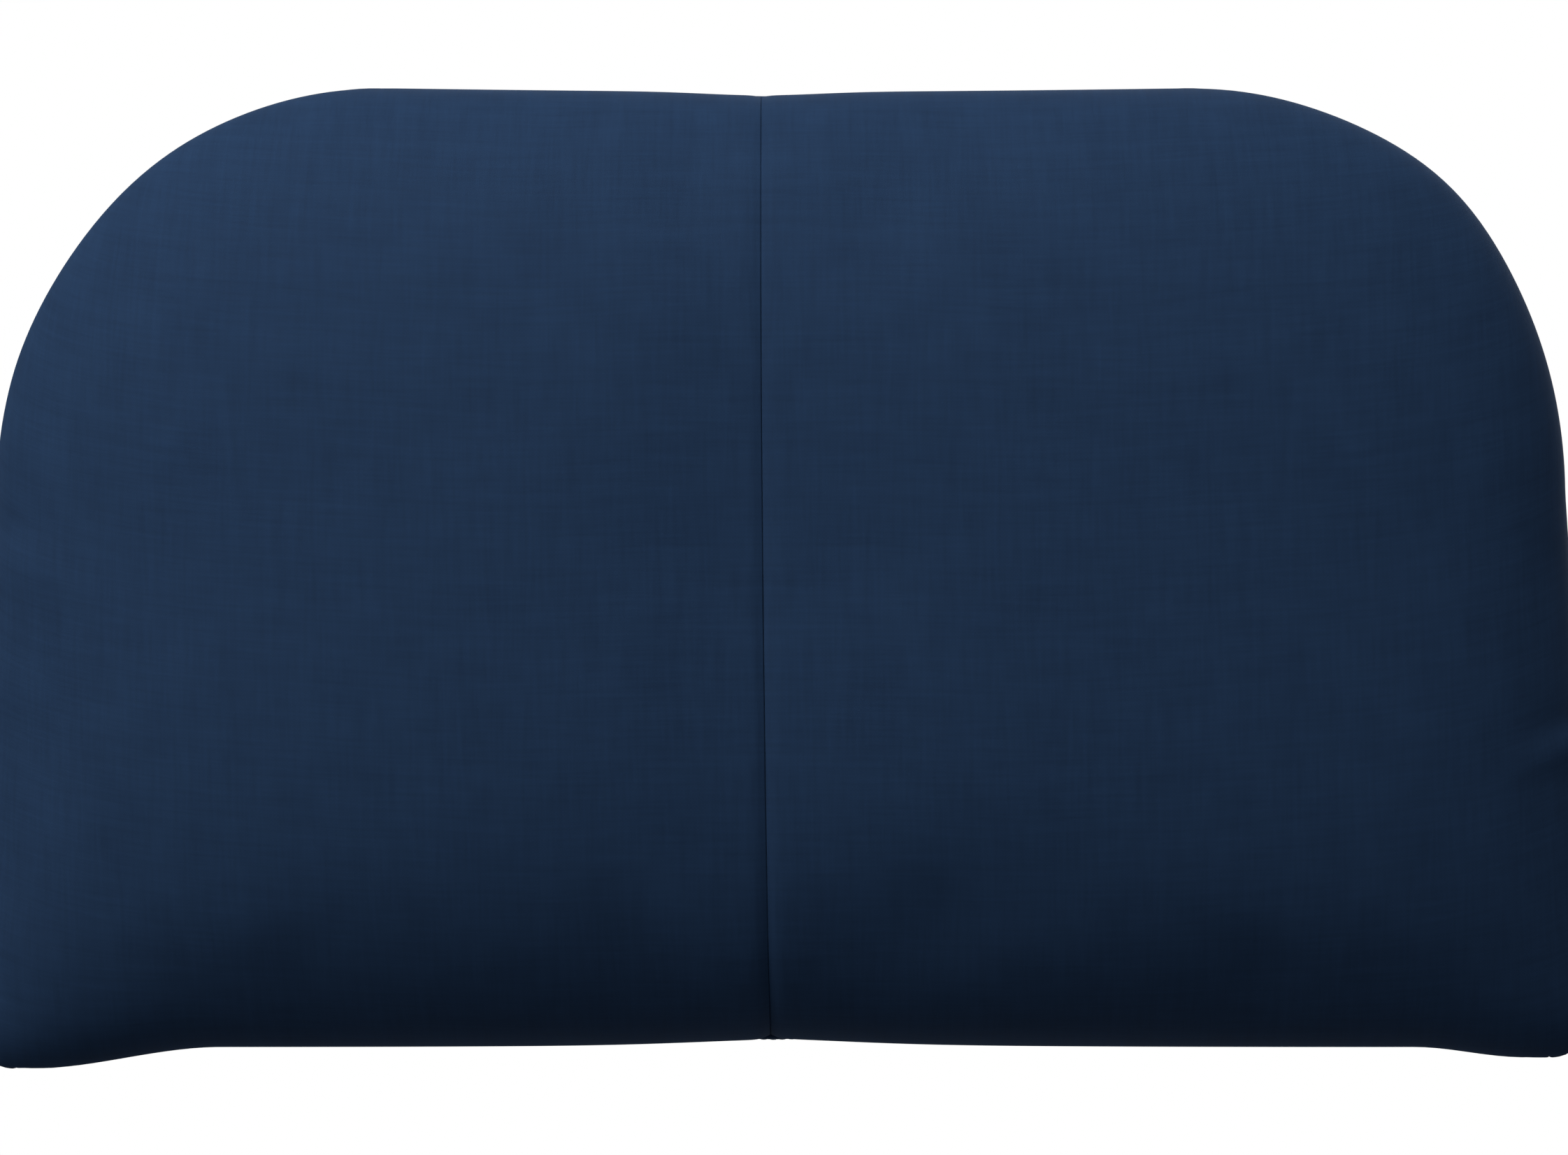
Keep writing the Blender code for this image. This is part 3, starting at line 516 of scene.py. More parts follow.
def swell_front():
    """Cloth simulation of the whole front under pressure, held along its rim and centre seam.

    Returns the grid's fractions and each half's displacement on that grid.
    """
    us = np.linspace(0, 1, 53)
    vs = np.linspace(0, 1, 65)
    rest = {side: front_base(us, vs, side) for side in (-1, 1)}
    whole = np.concatenate([rest[-1][:0:-1], rest[1]])
    nu, nv = whole.shape[:2]
    index, quads = grid_faces(nu, nv)
    mesh = bpy.data.meshes.new("front_cloth")
    mesh.from_pydata(whole.reshape(-1, 3).tolist(), [], quads.tolist())
    sheet = add_object("front_cloth", mesh)
    rim = np.zeros((nu, nv), bool)
    rim[[0, -1], :] = True
    rim[:, [0, -1]] = True
    held = sheet.vertex_groups.new(name="held")
    held.add(index[rim].tolist(), 1.0, "REPLACE")
    held.add(index[nu // 2, 1:-1].tolist(), 0.92, "REPLACE")
    cloth = sheet.modifiers.new("cloth", "CLOTH")
    for setting, value in CLOTH_SETTINGS.items():
        setattr(cloth.settings, setting, value)
    cloth.settings.effector_weights.gravity = 0
    cloth.collision_settings.use_collision = False
    cloth.collision_settings.use_self_collision = False
    scene = bpy.context.scene
    # Each frame is passed in turn, because the simulation goes on from the one before
    for number in range(CLOTH_FRAMES):
        scene.frame_set(number + 1)
    evaluated = sheet.evaluated_get(bpy.context.evaluated_depsgraph_get())
    moved = np.zeros(len(mesh.vertices) * 3, np.float32)
    evaluated.data.vertices.foreach_get("co", moved)
    moved = moved.reshape(nu, nv, 3).astype(float) - whole
    scene.frame_set(1)
    bpy.data.objects.remove(sheet)
    for _ in range(SWELL_SMOOTHING):
        ring = moved[:-2, 1:-1] + moved[2:, 1:-1] + moved[1:-1, :-2] + moved[1:-1, 2:]
        moved[1:-1, 1:-1] = 0.5 * moved[1:-1, 1:-1] + 0.125 * ring
    size = np.linalg.norm(moved, axis=-1, keepdims=True)
    moved *= np.minimum(1, SWELL_CAP / np.maximum(size, 1e-9))
    middle = nu // 2
    return us, vs, {-1: moved[middle::-1], 1: moved[middle:]}


def sample_grid(us, vs, grid, new_us, new_vs):
    """Bilinear values of a grid at other fractions."""
    grid = np.apply_along_axis(lambda line: np.interp(new_us, us, line), 0, grid)
    return np.apply_along_axis(lambda line: np.interp(new_vs, vs, line), 1, grid)


def seam_puckers(from_seam, z):
    """Small tucks where the thread draws the cloth in along the centre seam."""
    waves = (np.sin(z / (4.1 * MM) + 1.3 * np.sin(z / (23 * MM)))
             + 0.6 * np.sin(z / (6.7 * MM) + 2.1)) * 0.5
    return 0.16 * MM * waves * np.exp(-from_seam / (9 * MM))


# Soft folds near the sides: end at the rim, inner end, half width and height, all in mm
SIDE_FOLDS = [
    ((325, -138), (280, -155), 6.5, 1.9),
    ((327, -128), (288, -141), 6.0, -1.5),
    ((-322, -70), (-262, -78), 8.0, 0.9),
    ((-322, -52), (-275, -55), 7.0, -0.8),
    ((-324, -118), (-280, -124), 8.0, 0.8),
    ((-327, -215), (-262, -238), 12.0, 1.1),
]


def side_folds(points):
    """The few soft folds near the two side edges, as an outward height."""
    x, z = points[..., 0], points[..., 2]
    height = np.zeros_like(x)
    for start, end, width, rise in SIDE_FOLDS:
        start = np.array(start) * MM
        run = np.array(end) * MM - start
        length = np.linalg.norm(run)
        run = run / length
        t = ((x - start[0]) * run[0] + (z - start[1]) * run[1]) / length
        off = (x - start[0]) * -run[1] + (z - start[1]) * run[0]
        fade = np.where(t < 0.2, 1.0, 1 - smooth_step((t - 0.2) / 0.8))
        height += rise * MM * fade * bell(off, width * MM)
    return height * ease(RIM_Y - points[..., 1], 0, 16)


def heights():
    """Fractions of the front's height, fine towards the bottom and top rims."""
    marks = rim_marks(HALF_HEIGHT, CROWN_UP)
    return fractions(2 * HALF_HEIGHT, marks, marks)


def make_front_panels(material):
    us_sim, vs_sim, swell = swell_front()
    us = fractions(PAD_HALF, SEAM_MARKS, rim_marks(PAD_HALF, CROWN_ACROSS))
    vs = heights()
    for side, word in ((-1, "left"), (1, "right")):
        points = front_base(us, vs, side)
        points += sample_grid(us_sim, vs_sim, swell[side], us, vs)
        normals = grid_normals(points, flip=side < 0)
        from_seam = np.abs(points[..., 0] - seam_line(points[..., 2]))
        from_rim = np.maximum(RIM_Y - points[..., 1], 0)
        rise = (points[..., 2] - PAD_BOTTOM) / (2 * HALF_HEIGHT)
        valley = (VALLEY - VALLEY_FALL * rise) * np.exp(-(from_seam / VALLEY_REACH) ** 1.5)
        dip = roll_in(from_seam, SEAM_LIP) + roll_in(from_rim) + valley
        dip -= seam_puckers(from_seam, points[..., 2]) + side_folds(points)
        uv = surface_uv(points)
        points = points - normals * dip[..., None]
        points[..., 0] += side * BUTTED * np.exp(-from_seam / MM)
        points[..., 1] -= SEAM_GAP
        points = settle(points)
        panel = cloth_shell(f"front_panel_{word}", points, grid_normals(points, side < 0),
                            material, uv=uv)
        place_soft(panel, "navy_cloth_front", f"cover_front_{word}")


def make_seam_tape(material):
    """The woven strip sewn behind the centre seam, just under the front panels."""
    zs = PAD_BOTTOM + 2 * HALF_HEIGHT * heights()
    across = np.linspace(-1, 1, 9)[:, None]
    x = seam_line(zs) + across * TAPE_HALF_WIDTH
    z = np.broadcast_to(zs, x.shape)
    points = np.stack([x, RIM_Y - DOME_DEPTH * crown(x, z), z], axis=-1)
    depth = 4.7 * MM - 0.4 * MM * across[:, None] ** 2
    points = settle(points - grid_normals(points) * depth)
    points = points[:, np.abs(points[0, :, 2] - MID_Z) < HALF_HEIGHT - 6 * MM]
    tape = cloth_shell("seam_tape", points, grid_normals(points), material, SEAM_TAPE)
    place(tape, "pad", "seam_tape_cloth", "centre_seam_tape")


# ---------------------------------------------------------------- bands and rear panel

def make_side_band(material, thread):
    """The gusset round the top and both sides, rolled in at the front and rear seams."""
    path = band_path()
    length = line_length(path)
    spacing = 4 * MM
    ends = growing(0.5 * MM, 1.5, spacing)
    ss = fractions(length, ends, ends, spacing)
    width = REAR_Y - REAR_SEAM - RIM_Y
    vs = fractions(width, SEAM_MARKS[:9], SEAM_MARKS[:9], spacing)
    line = along(path, ss)
    outward = line_normals(line)
    from_front = vs * width
    from_rear = (1 - vs) * width
    s = ss[:, None] * length
    tuck = np.sin(s / (3.6 * MM) + 1.7 * np.sin(s / (31 * MM)))
    slow = np.sin(s / (57 * MM) + 0.8) * np.sin(np.pi * vs)[None]
    from_end = np.minimum(s, length - s)
    off = BAND_BELLY * np.sin(np.pi * vs) ** 0.7
    off = (off - roll_in(from_front) - roll_in(from_rear, REAR_SEAM))[None]
    off = off + 0.14 * MM * tuck * (np.exp(-from_front / (7 * MM))
                                    + np.exp(-from_rear / (7 * MM)))[None]
    off = off + 0.35 * MM * slow - roll_in(from_end, END_ROLL)
    xz = line[:, None] + outward[:, None] * off[..., None]
    y = np.broadcast_to(RIM_Y + SEAM_GAP + vs * (width - 2 * SEAM_GAP), off.shape)
    points = settle(np.stack([xz[..., 0], y, xz[..., 1]], axis=-1))
    normals = grid_normals(points)
    band = cloth_shell("side_band_cloth", points, normals, material)
    place_soft(band, "navy_cloth_band", "side_band")
    row = int(np.argmin(np.abs(from_rear - BAND_STITCH)))
    stitches("side_band_stitches", points[:, row], normals[:, row], thread, "navy_cloth_band")


def hem_profile(seam_y, fold_y):
    """A bottom band's section from its seam to its hem, folded up and back, as (y, z) points."""
    toward = 1 if fold_y > seam_y else -1
    centre = fold_y - toward * HEM_RADIUS
    run = abs(centre - seam_y)
    flat = fractions(run, SEAM_MARKS[:8], [0], 4 * MM) * run
    roll = SEAM_ROLL if toward > 0 else REAR_SEAM
    line = [(seam_y + toward * d,
             PAD_BOTTOM + roll_in(d, roll) - 0.5 * MM * math.sin(math.pi * d / run))
            for d in flat]
    for angle in np.linspace(-90, 90, 9)[1:]:
        a = math.radians(angle)
        line.append((centre + toward * HEM_RADIUS * math.cos(a),
                     PAD_BOTTOM + HEM_RADIUS * (1 + math.sin(a))))
    back = min(10 * MM, run - 3 * MM)
    line += [(centre - toward * back * k / 4, PAD_BOTTOM + 2 * HEM_RADIUS) for k in range(1, 5)]
    return np.array(line)


def tube(name, centres, outward, radius, material, closed=False):
    """A round cord along a line, with the direction that counts as outward at each point."""
    side = np.cross(directions(centres, closed), outward)
    side /= np.linalg.norm(side, axis=1, keepdims=True)
    turn = 2 * np.pi * np.arange(8)[:, None] / 8
    rows = centres[:, None] + radius * (np.cos(turn) * outward[:, None]
                                        + np.sin(turn) * side[:, None])
    return loft(name, rows, material, closed)


def make_seam_cords(material):
    """The folded seam allowances inside the cover, which close each seam from within."""
    loop = closed_outline(400)
    outward = line_normals(loop, closed=True)
    rear = REAR_SEAM + 0.8 * MM
    for word, inset, y in (("front", SEAM_ROLL + CORD_RADIUS, RIM_Y),
                           ("rear", rear, REAR_Y - rear)):
        centres = settle(level(loop - outward * inset, y))
        cord = tube(f"seam_allowance_{word}", centres, level(outward, 0.0), CORD_RADIUS, material,
                    closed=True)
        place(cord, "pad", "navy_cloth_band")
    ys = np.linspace(RIM_Y + 2 * MM, REAR_Y - 3 * MM, 25)
    down = np.tile((0.0, 0.0, -1.0), (25, 1))
    for side, word in ((-1, "left"), (1, "right")):
        line = np.full((25, 3), (side * BAND_END_X, 0, PAD_BOTTOM + END_ROLL + CORD_RADIUS))
        line[:, 1] = ys
        cord = tube(f"seam_allowance_{word}", settle(line), down, CORD_RADIUS, material)
        place(cord, "pad", "navy_cloth_band")


def make_bottom_bands(material, thread):
    """The strips on either side of the zip, each with a folded hem and two rows of stitching."""
    spacing = 4.5 * MM
    ends = growing(0.5 * MM, 1.5, spacing)
    x = -BAND_END_X + 2 * BAND_END_X * fractions(2 * BAND_END_X, ends, ends, spacing)
    x = x * (1 - SEAM_GAP / BAND_END_X)
    from_end = BAND_END_X - np.abs(x)
    for word, seam_y, fold_y in (("front", RIM_Y + SEAM_GAP, hem_y),
                                 ("rear", REAR_Y - REAR_SEAM - SEAM_GAP, rear_hem_y)):
        profile = hem_profile(seam_y, fold_y)
        y = np.broadcast_to(profile[:, 0], (len(x), len(profile)))
        puckered = np.sin(x / (3.3 * MM) + np.sin(x / (19 * MM)))[:, None]
        low = profile[:, 1] < PAD_BOTTOM + 0.6 * MM
        z = profile[:, 1] + roll_in(from_end, END_ROLL)[:, None] + 0.12 * MM * puckered * low
        xs = np.broadcast_to(x[:, None], z.shape)
        points = settle(np.stack([xs, y, z], axis=-1))
        normals = facing(points, 10, (0, 0, -1))
        band = cloth_shell(f"bottom_band_{word}_cloth", points, normals, material, BAND_CLOTH)
        place_soft(band, "navy_cloth_band", f"bottom_band_{word}")
        outside = np.arange(len(profile)) < len(profile) - 12
        for number, inset in enumerate(HEM_STITCHES, 1):
            away = np.abs(np.abs(profile[:, 0] - fold_y) - inset) + np.where(outside, 0, 1)
            row = int(np.argmin(away))
            stitches(f"bottom_stitches_{word}_{number}", points[2:-2, row],
                     normals[2:-2, row], thread, "navy_cloth_band")


def make_zip_end_tabs(material):
    """A folded tab sewn across each end of the zip."""
    near, far = TAB_Y
    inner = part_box("zip_tape_front")[1].x - TAB_OVERLAP
    reach = np.linspace(0, 1, 17)[:, None]
    for side, word in ((-1, "left"), (1, "right")):
        x = side * (inner + (BAND_END_X - SEAM_GAP - inner) * reach)
        y = near + (far - near) * np.linspace(0, 1, 21)[None]
        edge = np.minimum(np.abs(x) - inner, np.minimum(y - near, far - y))
        z = PAD_BOTTOM - TAB_DROP + roll_in(edge, 0.7 * MM)
        z = z + roll_in(BAND_END_X - np.abs(x), 1.8 * MM)
        z = z + 0.1 * MM * np.sin(y / (2.1 * MM))
        points = np.stack([np.broadcast_to(x, z.shape), np.broadcast_to(y, z.shape), z], axis=-1)
        points = settle(points)
        tab = cloth_shell(f"zip_end_tab_{word}", points, facing(points, 10, (0, 0, -1)),
                          material, BAND_CLOTH)
        place(tab, "pad", "navy_cloth_band")


def rear_plan(step):
    """(x, z) grid over the outline set in to the rear seam, and the distance from that seam."""
    edge = growing(0.3 * MM, 1.35, step)
    us = fractions(PAD_HALF, [0], edge, step)
    vs = fractions(2 * HALF_HEIGHT, edge, edge, step)
    half = front_map(us, vs)
    plan = np.concatenate([half[:0:-1] * (-1, 1), half])
    loop = closed_outline(900)
    normals = line_normals(loop, closed=True)
    flat = plan.reshape(-1, 2)
    away = np.linalg.norm(flat[:, None] - loop[None], axis=-1)
    nearest = away.argmin(axis=1)
    distance = away.min(axis=1)
    inward = np.exp(-distance / (12 * MM))[:, None] * normals[nearest] * REAR_SEAM
    border = np.zeros(plan.shape[:2], bool)
    border[[0, -1], :] = True
    border[:, [0, -1]] = True
    distance = np.where(border, 0, np.maximum(distance.reshape(border.shape), 0.3 * MM))
    return (flat - inward).reshape(plan.shape), distance


def make_rear_panel(material, thread):
    """The coarse black back: rolled in at its edge, soft between the rail, bumpers and eyelets."""
    plan, from_edge = rear_plan(6 * MM)
    x, z = plan[..., 0], plan[..., 1]
    rail_low, rail_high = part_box("wall_rail")
    board_rail_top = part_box("board_rail")[1].z
    away = np.hypot(np.maximum(np.abs(x) - rail_high.x, 0),
                    np.maximum(np.maximum(rail_low.z - z, z - board_rail_top), 0))
    for node in ("bumper_left", "bumper_right", *(f"vent_eyelet_{k}" for k in range(1, 5))):
        at_x, at_z, radius, _, _ = round_node(node)
        away = np.minimum(away, np.maximum(np.hypot(x - at_x, z - at_z) - radius, 0))
    free = ease(away, 0, 45) * ease(from_edge, 10, 30)
    swell = (0.55 + 0.25 * np.sin(x / (61 * MM) + 0.7) * np.sin(z / (47 * MM) + 1.1)
             + 0.20 * np.sin(x / (23 * MM) - z / (33 * MM)))
    y = REAR_Y + REAR_SWELL * free * swell - roll_in(from_edge, REAR_SEAM)
    points = settle(np.stack([x, y, z], axis=-1))
    normals = facing(points, points.shape[1] // 2, (0, 1, 0))
    panel = cloth_shell("rear_panel_cloth", points, normals, material, REAR_CLOTH, plan)
    cut_rear_holes(panel)
    place(panel, "pad", "rear_cloth", "rear_panel")
    line = inset_outline(REAR_STITCH, 600)
    line = level(np.concatenate([line, line[:1]]), REAR_Y)
    back = np.broadcast_to(np.array((0.0, 1.0, 0.0)), line.shape)
    stitches("rear_panel_stitches", settle(line), back, thread, "rear_cloth")


def cut_rear_holes(panel):
    """Real holes for the rail bolts, the bumper screws and the vent eyelets."""
    holes = [(f"rail_bolt_{k}", 3.7 * MM) for k in range(1, 5)]
    holes += [("bumper_screw_left", 2.6 * MM), ("bumper_screw_right", 2.6 * MM)]
    holes += [(f"vent_eyelet_{k}", 4.8 * MM) for k in range(1, 5)]
    bm = bmesh.new()
    for node, radius in holes:
        at_x, at_z, _, _, _ = round_node(node)
        made = bmesh.ops.create_cone(bm, cap_ends=True, segments=32, radius1=radius,
                                     radius2=radius, depth=20 * MM)
        for vert in made["verts"]:
            x, y, z = vert.co
            vert.co = (at_x + x, REAR_Y + z, at_z + y)
    bmesh.ops.recalc_face_normals(bm, faces=bm.faces)
    mesh = bpy.data.meshes.new("rear_holes")
    bm.to_mesh(mesh)
    bm.free()
    cutter = add_object("rear_holes", mesh)
    boolean = panel.modifiers.new("holes", "BOOLEAN")
    boolean.object = cutter
    boolean.solver = "EXACT"
    graph = bpy.context.evaluated_depsgraph_get()
    cut = bpy.data.meshes.new_from_object(panel.evaluated_get(graph))
    panel.modifiers.clear()
    panel.data = cut
    panel.data.name = panel.name
    bpy.data.objects.remove(cutter)


# ---------------------------------------------------------------- padding

def dome_rows(set_in):
    """Rows of a crowned layer from its centre out to its rim."""
    full = closed_outline(PADDING_STEPS)
    loop = inset_outline(set_in)
    middle = np.array((0, MID_Z))
    rows = []
    for k in range(DOME_STEPS, 0, -1):
        size = math.sqrt(math.sin(math.pi / 2 * (1 - k / (DOME_STEPS + 1))))
        plan = middle + (full - middle) * size
        height = crown(plan[:, 0], plan[:, 1], PADDING_UP) * (DOME_DEPTH - set_in)
        rows.append(level(middle + (loop - middle) * size, RIM_Y - height))
    return rows + [level(loop, RIM_Y)]


def edge_row(set_in, y):
    return level(inset_outline(set_in), y)


def foam_rows(low_y, high_y, set_in, crowned):
    """Rows of a foam layer with softened edges, flat or crowned in front."""
    back = [edge_row(set_in + FOAM_EDGE, high_y)]
    if crowned:
        return dome_rows(set_in)[:-1] + [edge_row(set_in, high_y - 0.2 * MM)] + back
    front = [edge_row(set_in + FOAM_EDGE, low_y), edge_row(set_in, low_y + FOAM_EDGE)]
    return front + [edge_row(set_in, high_y - FOAM_EDGE)] + back


def make_padding(wadding, strike, core, base):
    """The fibre wrap, the crowned strike foam and the two flat foams behind it."""
    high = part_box("wadding_wrap")[1]
    outer = PAD_TOP - high.z
    inner = outer + WADDING_THICK
    rows = dome_rows(outer) + [edge_row(outer, high.y), edge_row(inner, high.y)]
    rows += dome_rows(inner)[::-1]
    wrap = loft("wadding_layer", [settle(row) for row in rows], wadding)
    place_soft(wrap, "wadding_fibre", "wadding_wrap")
    for word, material in (("strike", strike), ("core", core), ("base", base)):
        low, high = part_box(f"foam_{word}_layer")
        rows = foam_rows(low.y, high.y, PAD_TOP - high.z, word == "strike")
        layer = loft(f"{word}_foam_layer", [settle(row) for row in rows], material)
        place_soft(layer, f"{word}_foam", f"foam_{word}_layer")


# ---------------------------------------------------------------- zip

def make_zip_tapes(material):
    """The two woven tapes, each with a bead along the edge that carries the teeth."""
    turn = np.radians(np.linspace(150, -150, 11))
    steps = np.arange(1, 8) / 7
    for word, toward in (("front", 1), ("rear", -1)):
        low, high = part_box(f"zip_tape_{word}")
        inner_y = high.y if toward > 0 else low.y
        middle = (low.z + high.z) / 2
        bead = np.stack([BEAD * (1 - np.cos(turn)), BEAD * np.sin(turn)], axis=1)
        inset = 2 * BEAD + (high.y - low.y - 2 * BEAD) * steps
        under = np.column_stack([inset, np.full(7, -ZIP_TAPE / 2)])
        section = np.concatenate([bead, under, under[::-1] * (1, -1)])
        section = section * (-toward, 1) + (inner_y, middle)
        rows = [np.insert(section, 0, t * high.x, axis=1) for t in np.linspace(-1, 1, 161)]
        tape = loft(f"zip_tape_{word}_cloth", rows, material, sharp=60)
        place(tape, "pad", "zip_tape_cloth", f"zip_tape_{word}")


def tooth_rows(reach_in, reach_out, half_thick, side, x, z, small=0.0):
    """One moulded tooth: a plan outline with a rounded head, drawn through four levels."""
    head = reach_in
    plan = [(0.50, reach_out), (0.52, head + 1.1), (0.40, head + 0.75), (0.52, head + 0.40),
            (0.34, head)]
    plan = plan + [(-a, b) for a, b in plan[::-1]]
    rows = []
    for level_z, shrink in ((-1, 0.16), (-0.72, 0), (0.72, 0), (1, 0.16)):
        row = []
        for a, b in plan:
            a = math.copysign(abs(a) - shrink - small, a)
            b = b - shrink - small if b == reach_out else b + shrink + small
            row.append((x + a * MM, side * b * MM, z + level_z * (half_thick - small * MM)))
        rows.append(row)
    return rows


def make_zip_teeth(material):
    """The closed chain, and the open rows of teeth under it."""
    low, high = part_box("zip_chain")
    y = (low.y + high.y) / 2
    z = (low.z + high.z) / 2
    half_thick = (high.z - low.z) / 2
    chain = []
    open_rows = {-1: [], 1: []}
    for k in range(int((high.x - low.x) / TOOTH_PITCH - 1)):
        for side in (-1, 1):
            x = high.x - 0.8 * MM - TOOTH_PITCH * (k if side < 0 else k + 0.5)
            chain.append(tooth_rows(-0.7, 2.6, half_thick, side, x, z))
            open_rows[side].append(tooth_rows(1.0, 2.6, half_thick, side, x, z, 0.07))
    shift = np.array((0, y, 0))
    closed = join_rows("zip_teeth_closed", np.array(chain) + shift, material, 40)
    place(closed, "pad", "zip_teeth", "zip_chain")
    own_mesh(closed)
    for side, word in ((-1, "front"), (1, "rear")):
        row = join_rows(f"zip_teeth_open_{word}", np.array(open_rows[side]) + shift, material, 40)
        place(row, "pad", "zip_teeth")


def rounded_plan(points, radius):
    """A closed plan with each of its corners rounded."""
    points = np.array(points, float)
    line = []
    for before, corner, after in zip(np.roll(points, 1, axis=0), points,
                                     np.roll(points, -1, axis=0)):
        reach = min(radius, 0.48 * np.linalg.norm(before - corner),
                    0.48 * np.linalg.norm(after - corner))
        start = corner + (before - corner) / np.linalg.norm(before - corner) * reach
        finish = corner + (after - corner) / np.linalg.norm(after - corner) * reach
        for t in np.linspace(0, 1, 5):
            line.append((1 - t) ** 2 * start + 2 * t * (1 - t) * corner + t ** 2 * finish)
    return np.array(line)


def mirrored(half):
    """A plan that is the same on both sides of its own x axis."""
    return [(x, -y) for x, y in half] + [(x, y) for x, y in half[::-1]]


def plate(plan, low, high, edge, corner, upright=False, rim=None, sink=0.0):
    """Rows of a plate drawn through a plan in mm, with rounded corners and edges.

    The plan is (x, y) and the plate's faces are at the heights low and high; an upright plate has
    its plan in (x, z) and its faces at two values of y.  A rim leaves a sunk panel in both faces.
    """
    plan = rounded_plan(plan, corner)
    middle = (plan.min(axis=0) + plan.max(axis=0)) / 2
    half = (plan.max(axis=0) - plan.min(axis=0)) / 2
    levels = [(edge * (1 - math.cos(a)), edge * (1 - math.sin(a)))
              for a in np.radians(np.linspace(90, 0, 4))]
    rows = [(plan - middle) * (1 - inset / half) + middle for inset, _ in levels]
    depths = [depth for _, depth in levels]
    if rim:
        panel = [(plan - middle) * (1 - size / half) + middle for size in (rim, rim + 0.15)]
        rows = [panel[1], panel[0], *rows]
        depths = [sink, 0.02, *depths]
    body = [np.column_stack([row, np.full(len(row), low + depth)])
            for row, depth in zip(rows, depths)]
    body += [np.column_stack([row, np.full(len(row), high - depth)])
             for row, depth in zip(rows[::-1], depths[::-1])]
    body = np.array(body)
    return body[..., (0, 2, 1)] if upright else body


def bar(x, z, half, radius):
    """Rows of a round bar along Y with rounded ends, in mm."""
    turn = 2 * np.pi * np.arange(14) / 14
    circle = np.column_stack([np.cos(turn), np.sin(turn)])
    return [level((x, z) + radius * size * circle, half * y)
            for y, size in ((-1, 0.6), (-0.95, 0.9), (-0.85, 1), (0.85, 1), (0.95, 0.9), (1, 0.6))]


def merged(name, origin, blocks, material):
    """One piece from closed bodies, each as (rows in mm about an origin, closed tube or not)."""
    verts, faces = [], []
    shift = 0
    for rows, closed in blocks:
        points, quads = loft_parts(np.array(origin) + np.array(rows) * MM, closed)
        verts.append(points)
        faces += [tuple(index + shift for index in face) for face in quads]
        shift += len(points)
    return new_piece(name, np.concatenate(verts), faces, material, sharp=40)


def make_slider(metal):
    """Two shield-shaped wings with side walls, the dividing post, and lugs with a bar."""
    low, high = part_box("zip_slider")
    wing_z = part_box("zip_chain")[0].z - 1.6 * MM
    top = (high.z - wing_z) / MM
    origin = ((low.x + high.x) / 2, (low.y + high.y) / 2, wing_z)
    lower = mirrored([(6, 3.0), (1.5, 3.7), (-2.2, 4.5), (-4.9, 4.5), (-6, 3.0), (-5.4, 0.7)])
    upper = mirrored([(5, 2.7), (1.2, 3.2), (-2.2, 4.0), (-4.6, 4.0), (-5.5, 2.8), (-5.0, 0.6)])
    post = mirrored([(-1.3, 0.9), (-4.2, 0.9), (-4.8, 0.4)])
    blocks = [plate(lower, 0, 1.3, 0.4, 1.0), plate(upper, top - 1.3, top, 0.4, 1.0),
              plate(post, 0.9, top - 0.9, 0.1, 0.3), bar(0, -2.0, 1.9, 0.7)]
    for side in (-1, 1):
        wall = [(5.4, side * 2.9), (5.4, side * 3.3), (1.0, side * 3.6), (-3.0, side * 3.9),
                (-3.0, side * 2.9)]
        lug = [(-1.1, 0.6), (-1.1, -3.1), (1.1, -3.1), (1.1, 0.6)]
        near, far = sorted((side * 1.4, side * 2.4))
        blocks += [plate(wall, 0.9, 3.9, 0.2, 0.3), plate(lug, near, far, 0.2, 0.9, True)]
    slider = merged("zip_slider_body", origin, [(rows, False) for rows in blocks], metal)
    place(slider, "slider", "zip_metal", "zip_slider")


def make_pull(metal):
    """A flat tab on a round eye, with a sunk panel and grip ribs on both faces."""
    low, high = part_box("zip_pull")
    origin = (low.x + 1.7 * MM, (low.y + high.y) / 2, (low.z + high.z) / 2)
    turn = np.linspace(0, 2 * math.pi, 28, endpoint=False)
    eye = [np.stack([r * np.cos(turn), np.full(28, y), r * np.sin(turn)], axis=1)
           for r, y in ((1.45, -1.1), (1.68, -0.85), (1.68, 0.85), (1.45, 1.1), (1.15, 1.1),
                        (0.98, 0.9), (0.98, -0.9), (1.15, -1.1))]
    neck = [(1.3, 0.95), (6.5, 0.95), (6.5, -0.95), (1.3, -0.95)]
    tab = mirrored([(5.2, 1.2), (7.6, 2.3), (15, 2.7), (23.2, 3.5), (26, 1.8)])
    blocks = [(eye, True), (plate(neck, -0.68, 0.68, 0.2, 0.2), False),
              (plate(tab, -0.65, 0.65, 0.25, 1.2, rim=1.0, sink=0.22), False)]
    for x in (18.0, 19.5, 21.0):
        rib = [(x - 0.3, -1.5), (x + 0.3, -1.5), (x + 0.3, 1.5), (x - 0.3, 1.5)]
        blocks.append((plate(rib, -0.62, 0.62, 0.12, 0.25), False))
    place(merged("zip_pull_tab", origin, blocks, metal), "pull", "zip_metal", "zip_pull")


def make_zip_stops(metal):
    """Crimped clips at the ends of the teeth, with rounded edges and a pinched middle."""
    for name, node in (("zip_stop_front", "zip_top_stop_front"),
                       ("zip_stop_rear", "zip_top_stop_rear"),
                       ("zip_stop_bottom", "zip_bottom_stop")):
        low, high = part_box(node)
        origin = (low + high) / 2
        half = (high - low) / 2 / MM
        waist = 0.82 * half.y
        plan = mirrored([(-half.x, half.y), (-0.3 * half.x, half.y), (0, waist),
                         (0.3 * half.x, half.y), (half.x, half.y)])
        block = plate(plan, -half.z, half.z, 0.35, 0.4)
        place(merged(name, origin, [(block, False)], metal), "pad", "zip_metal", node)


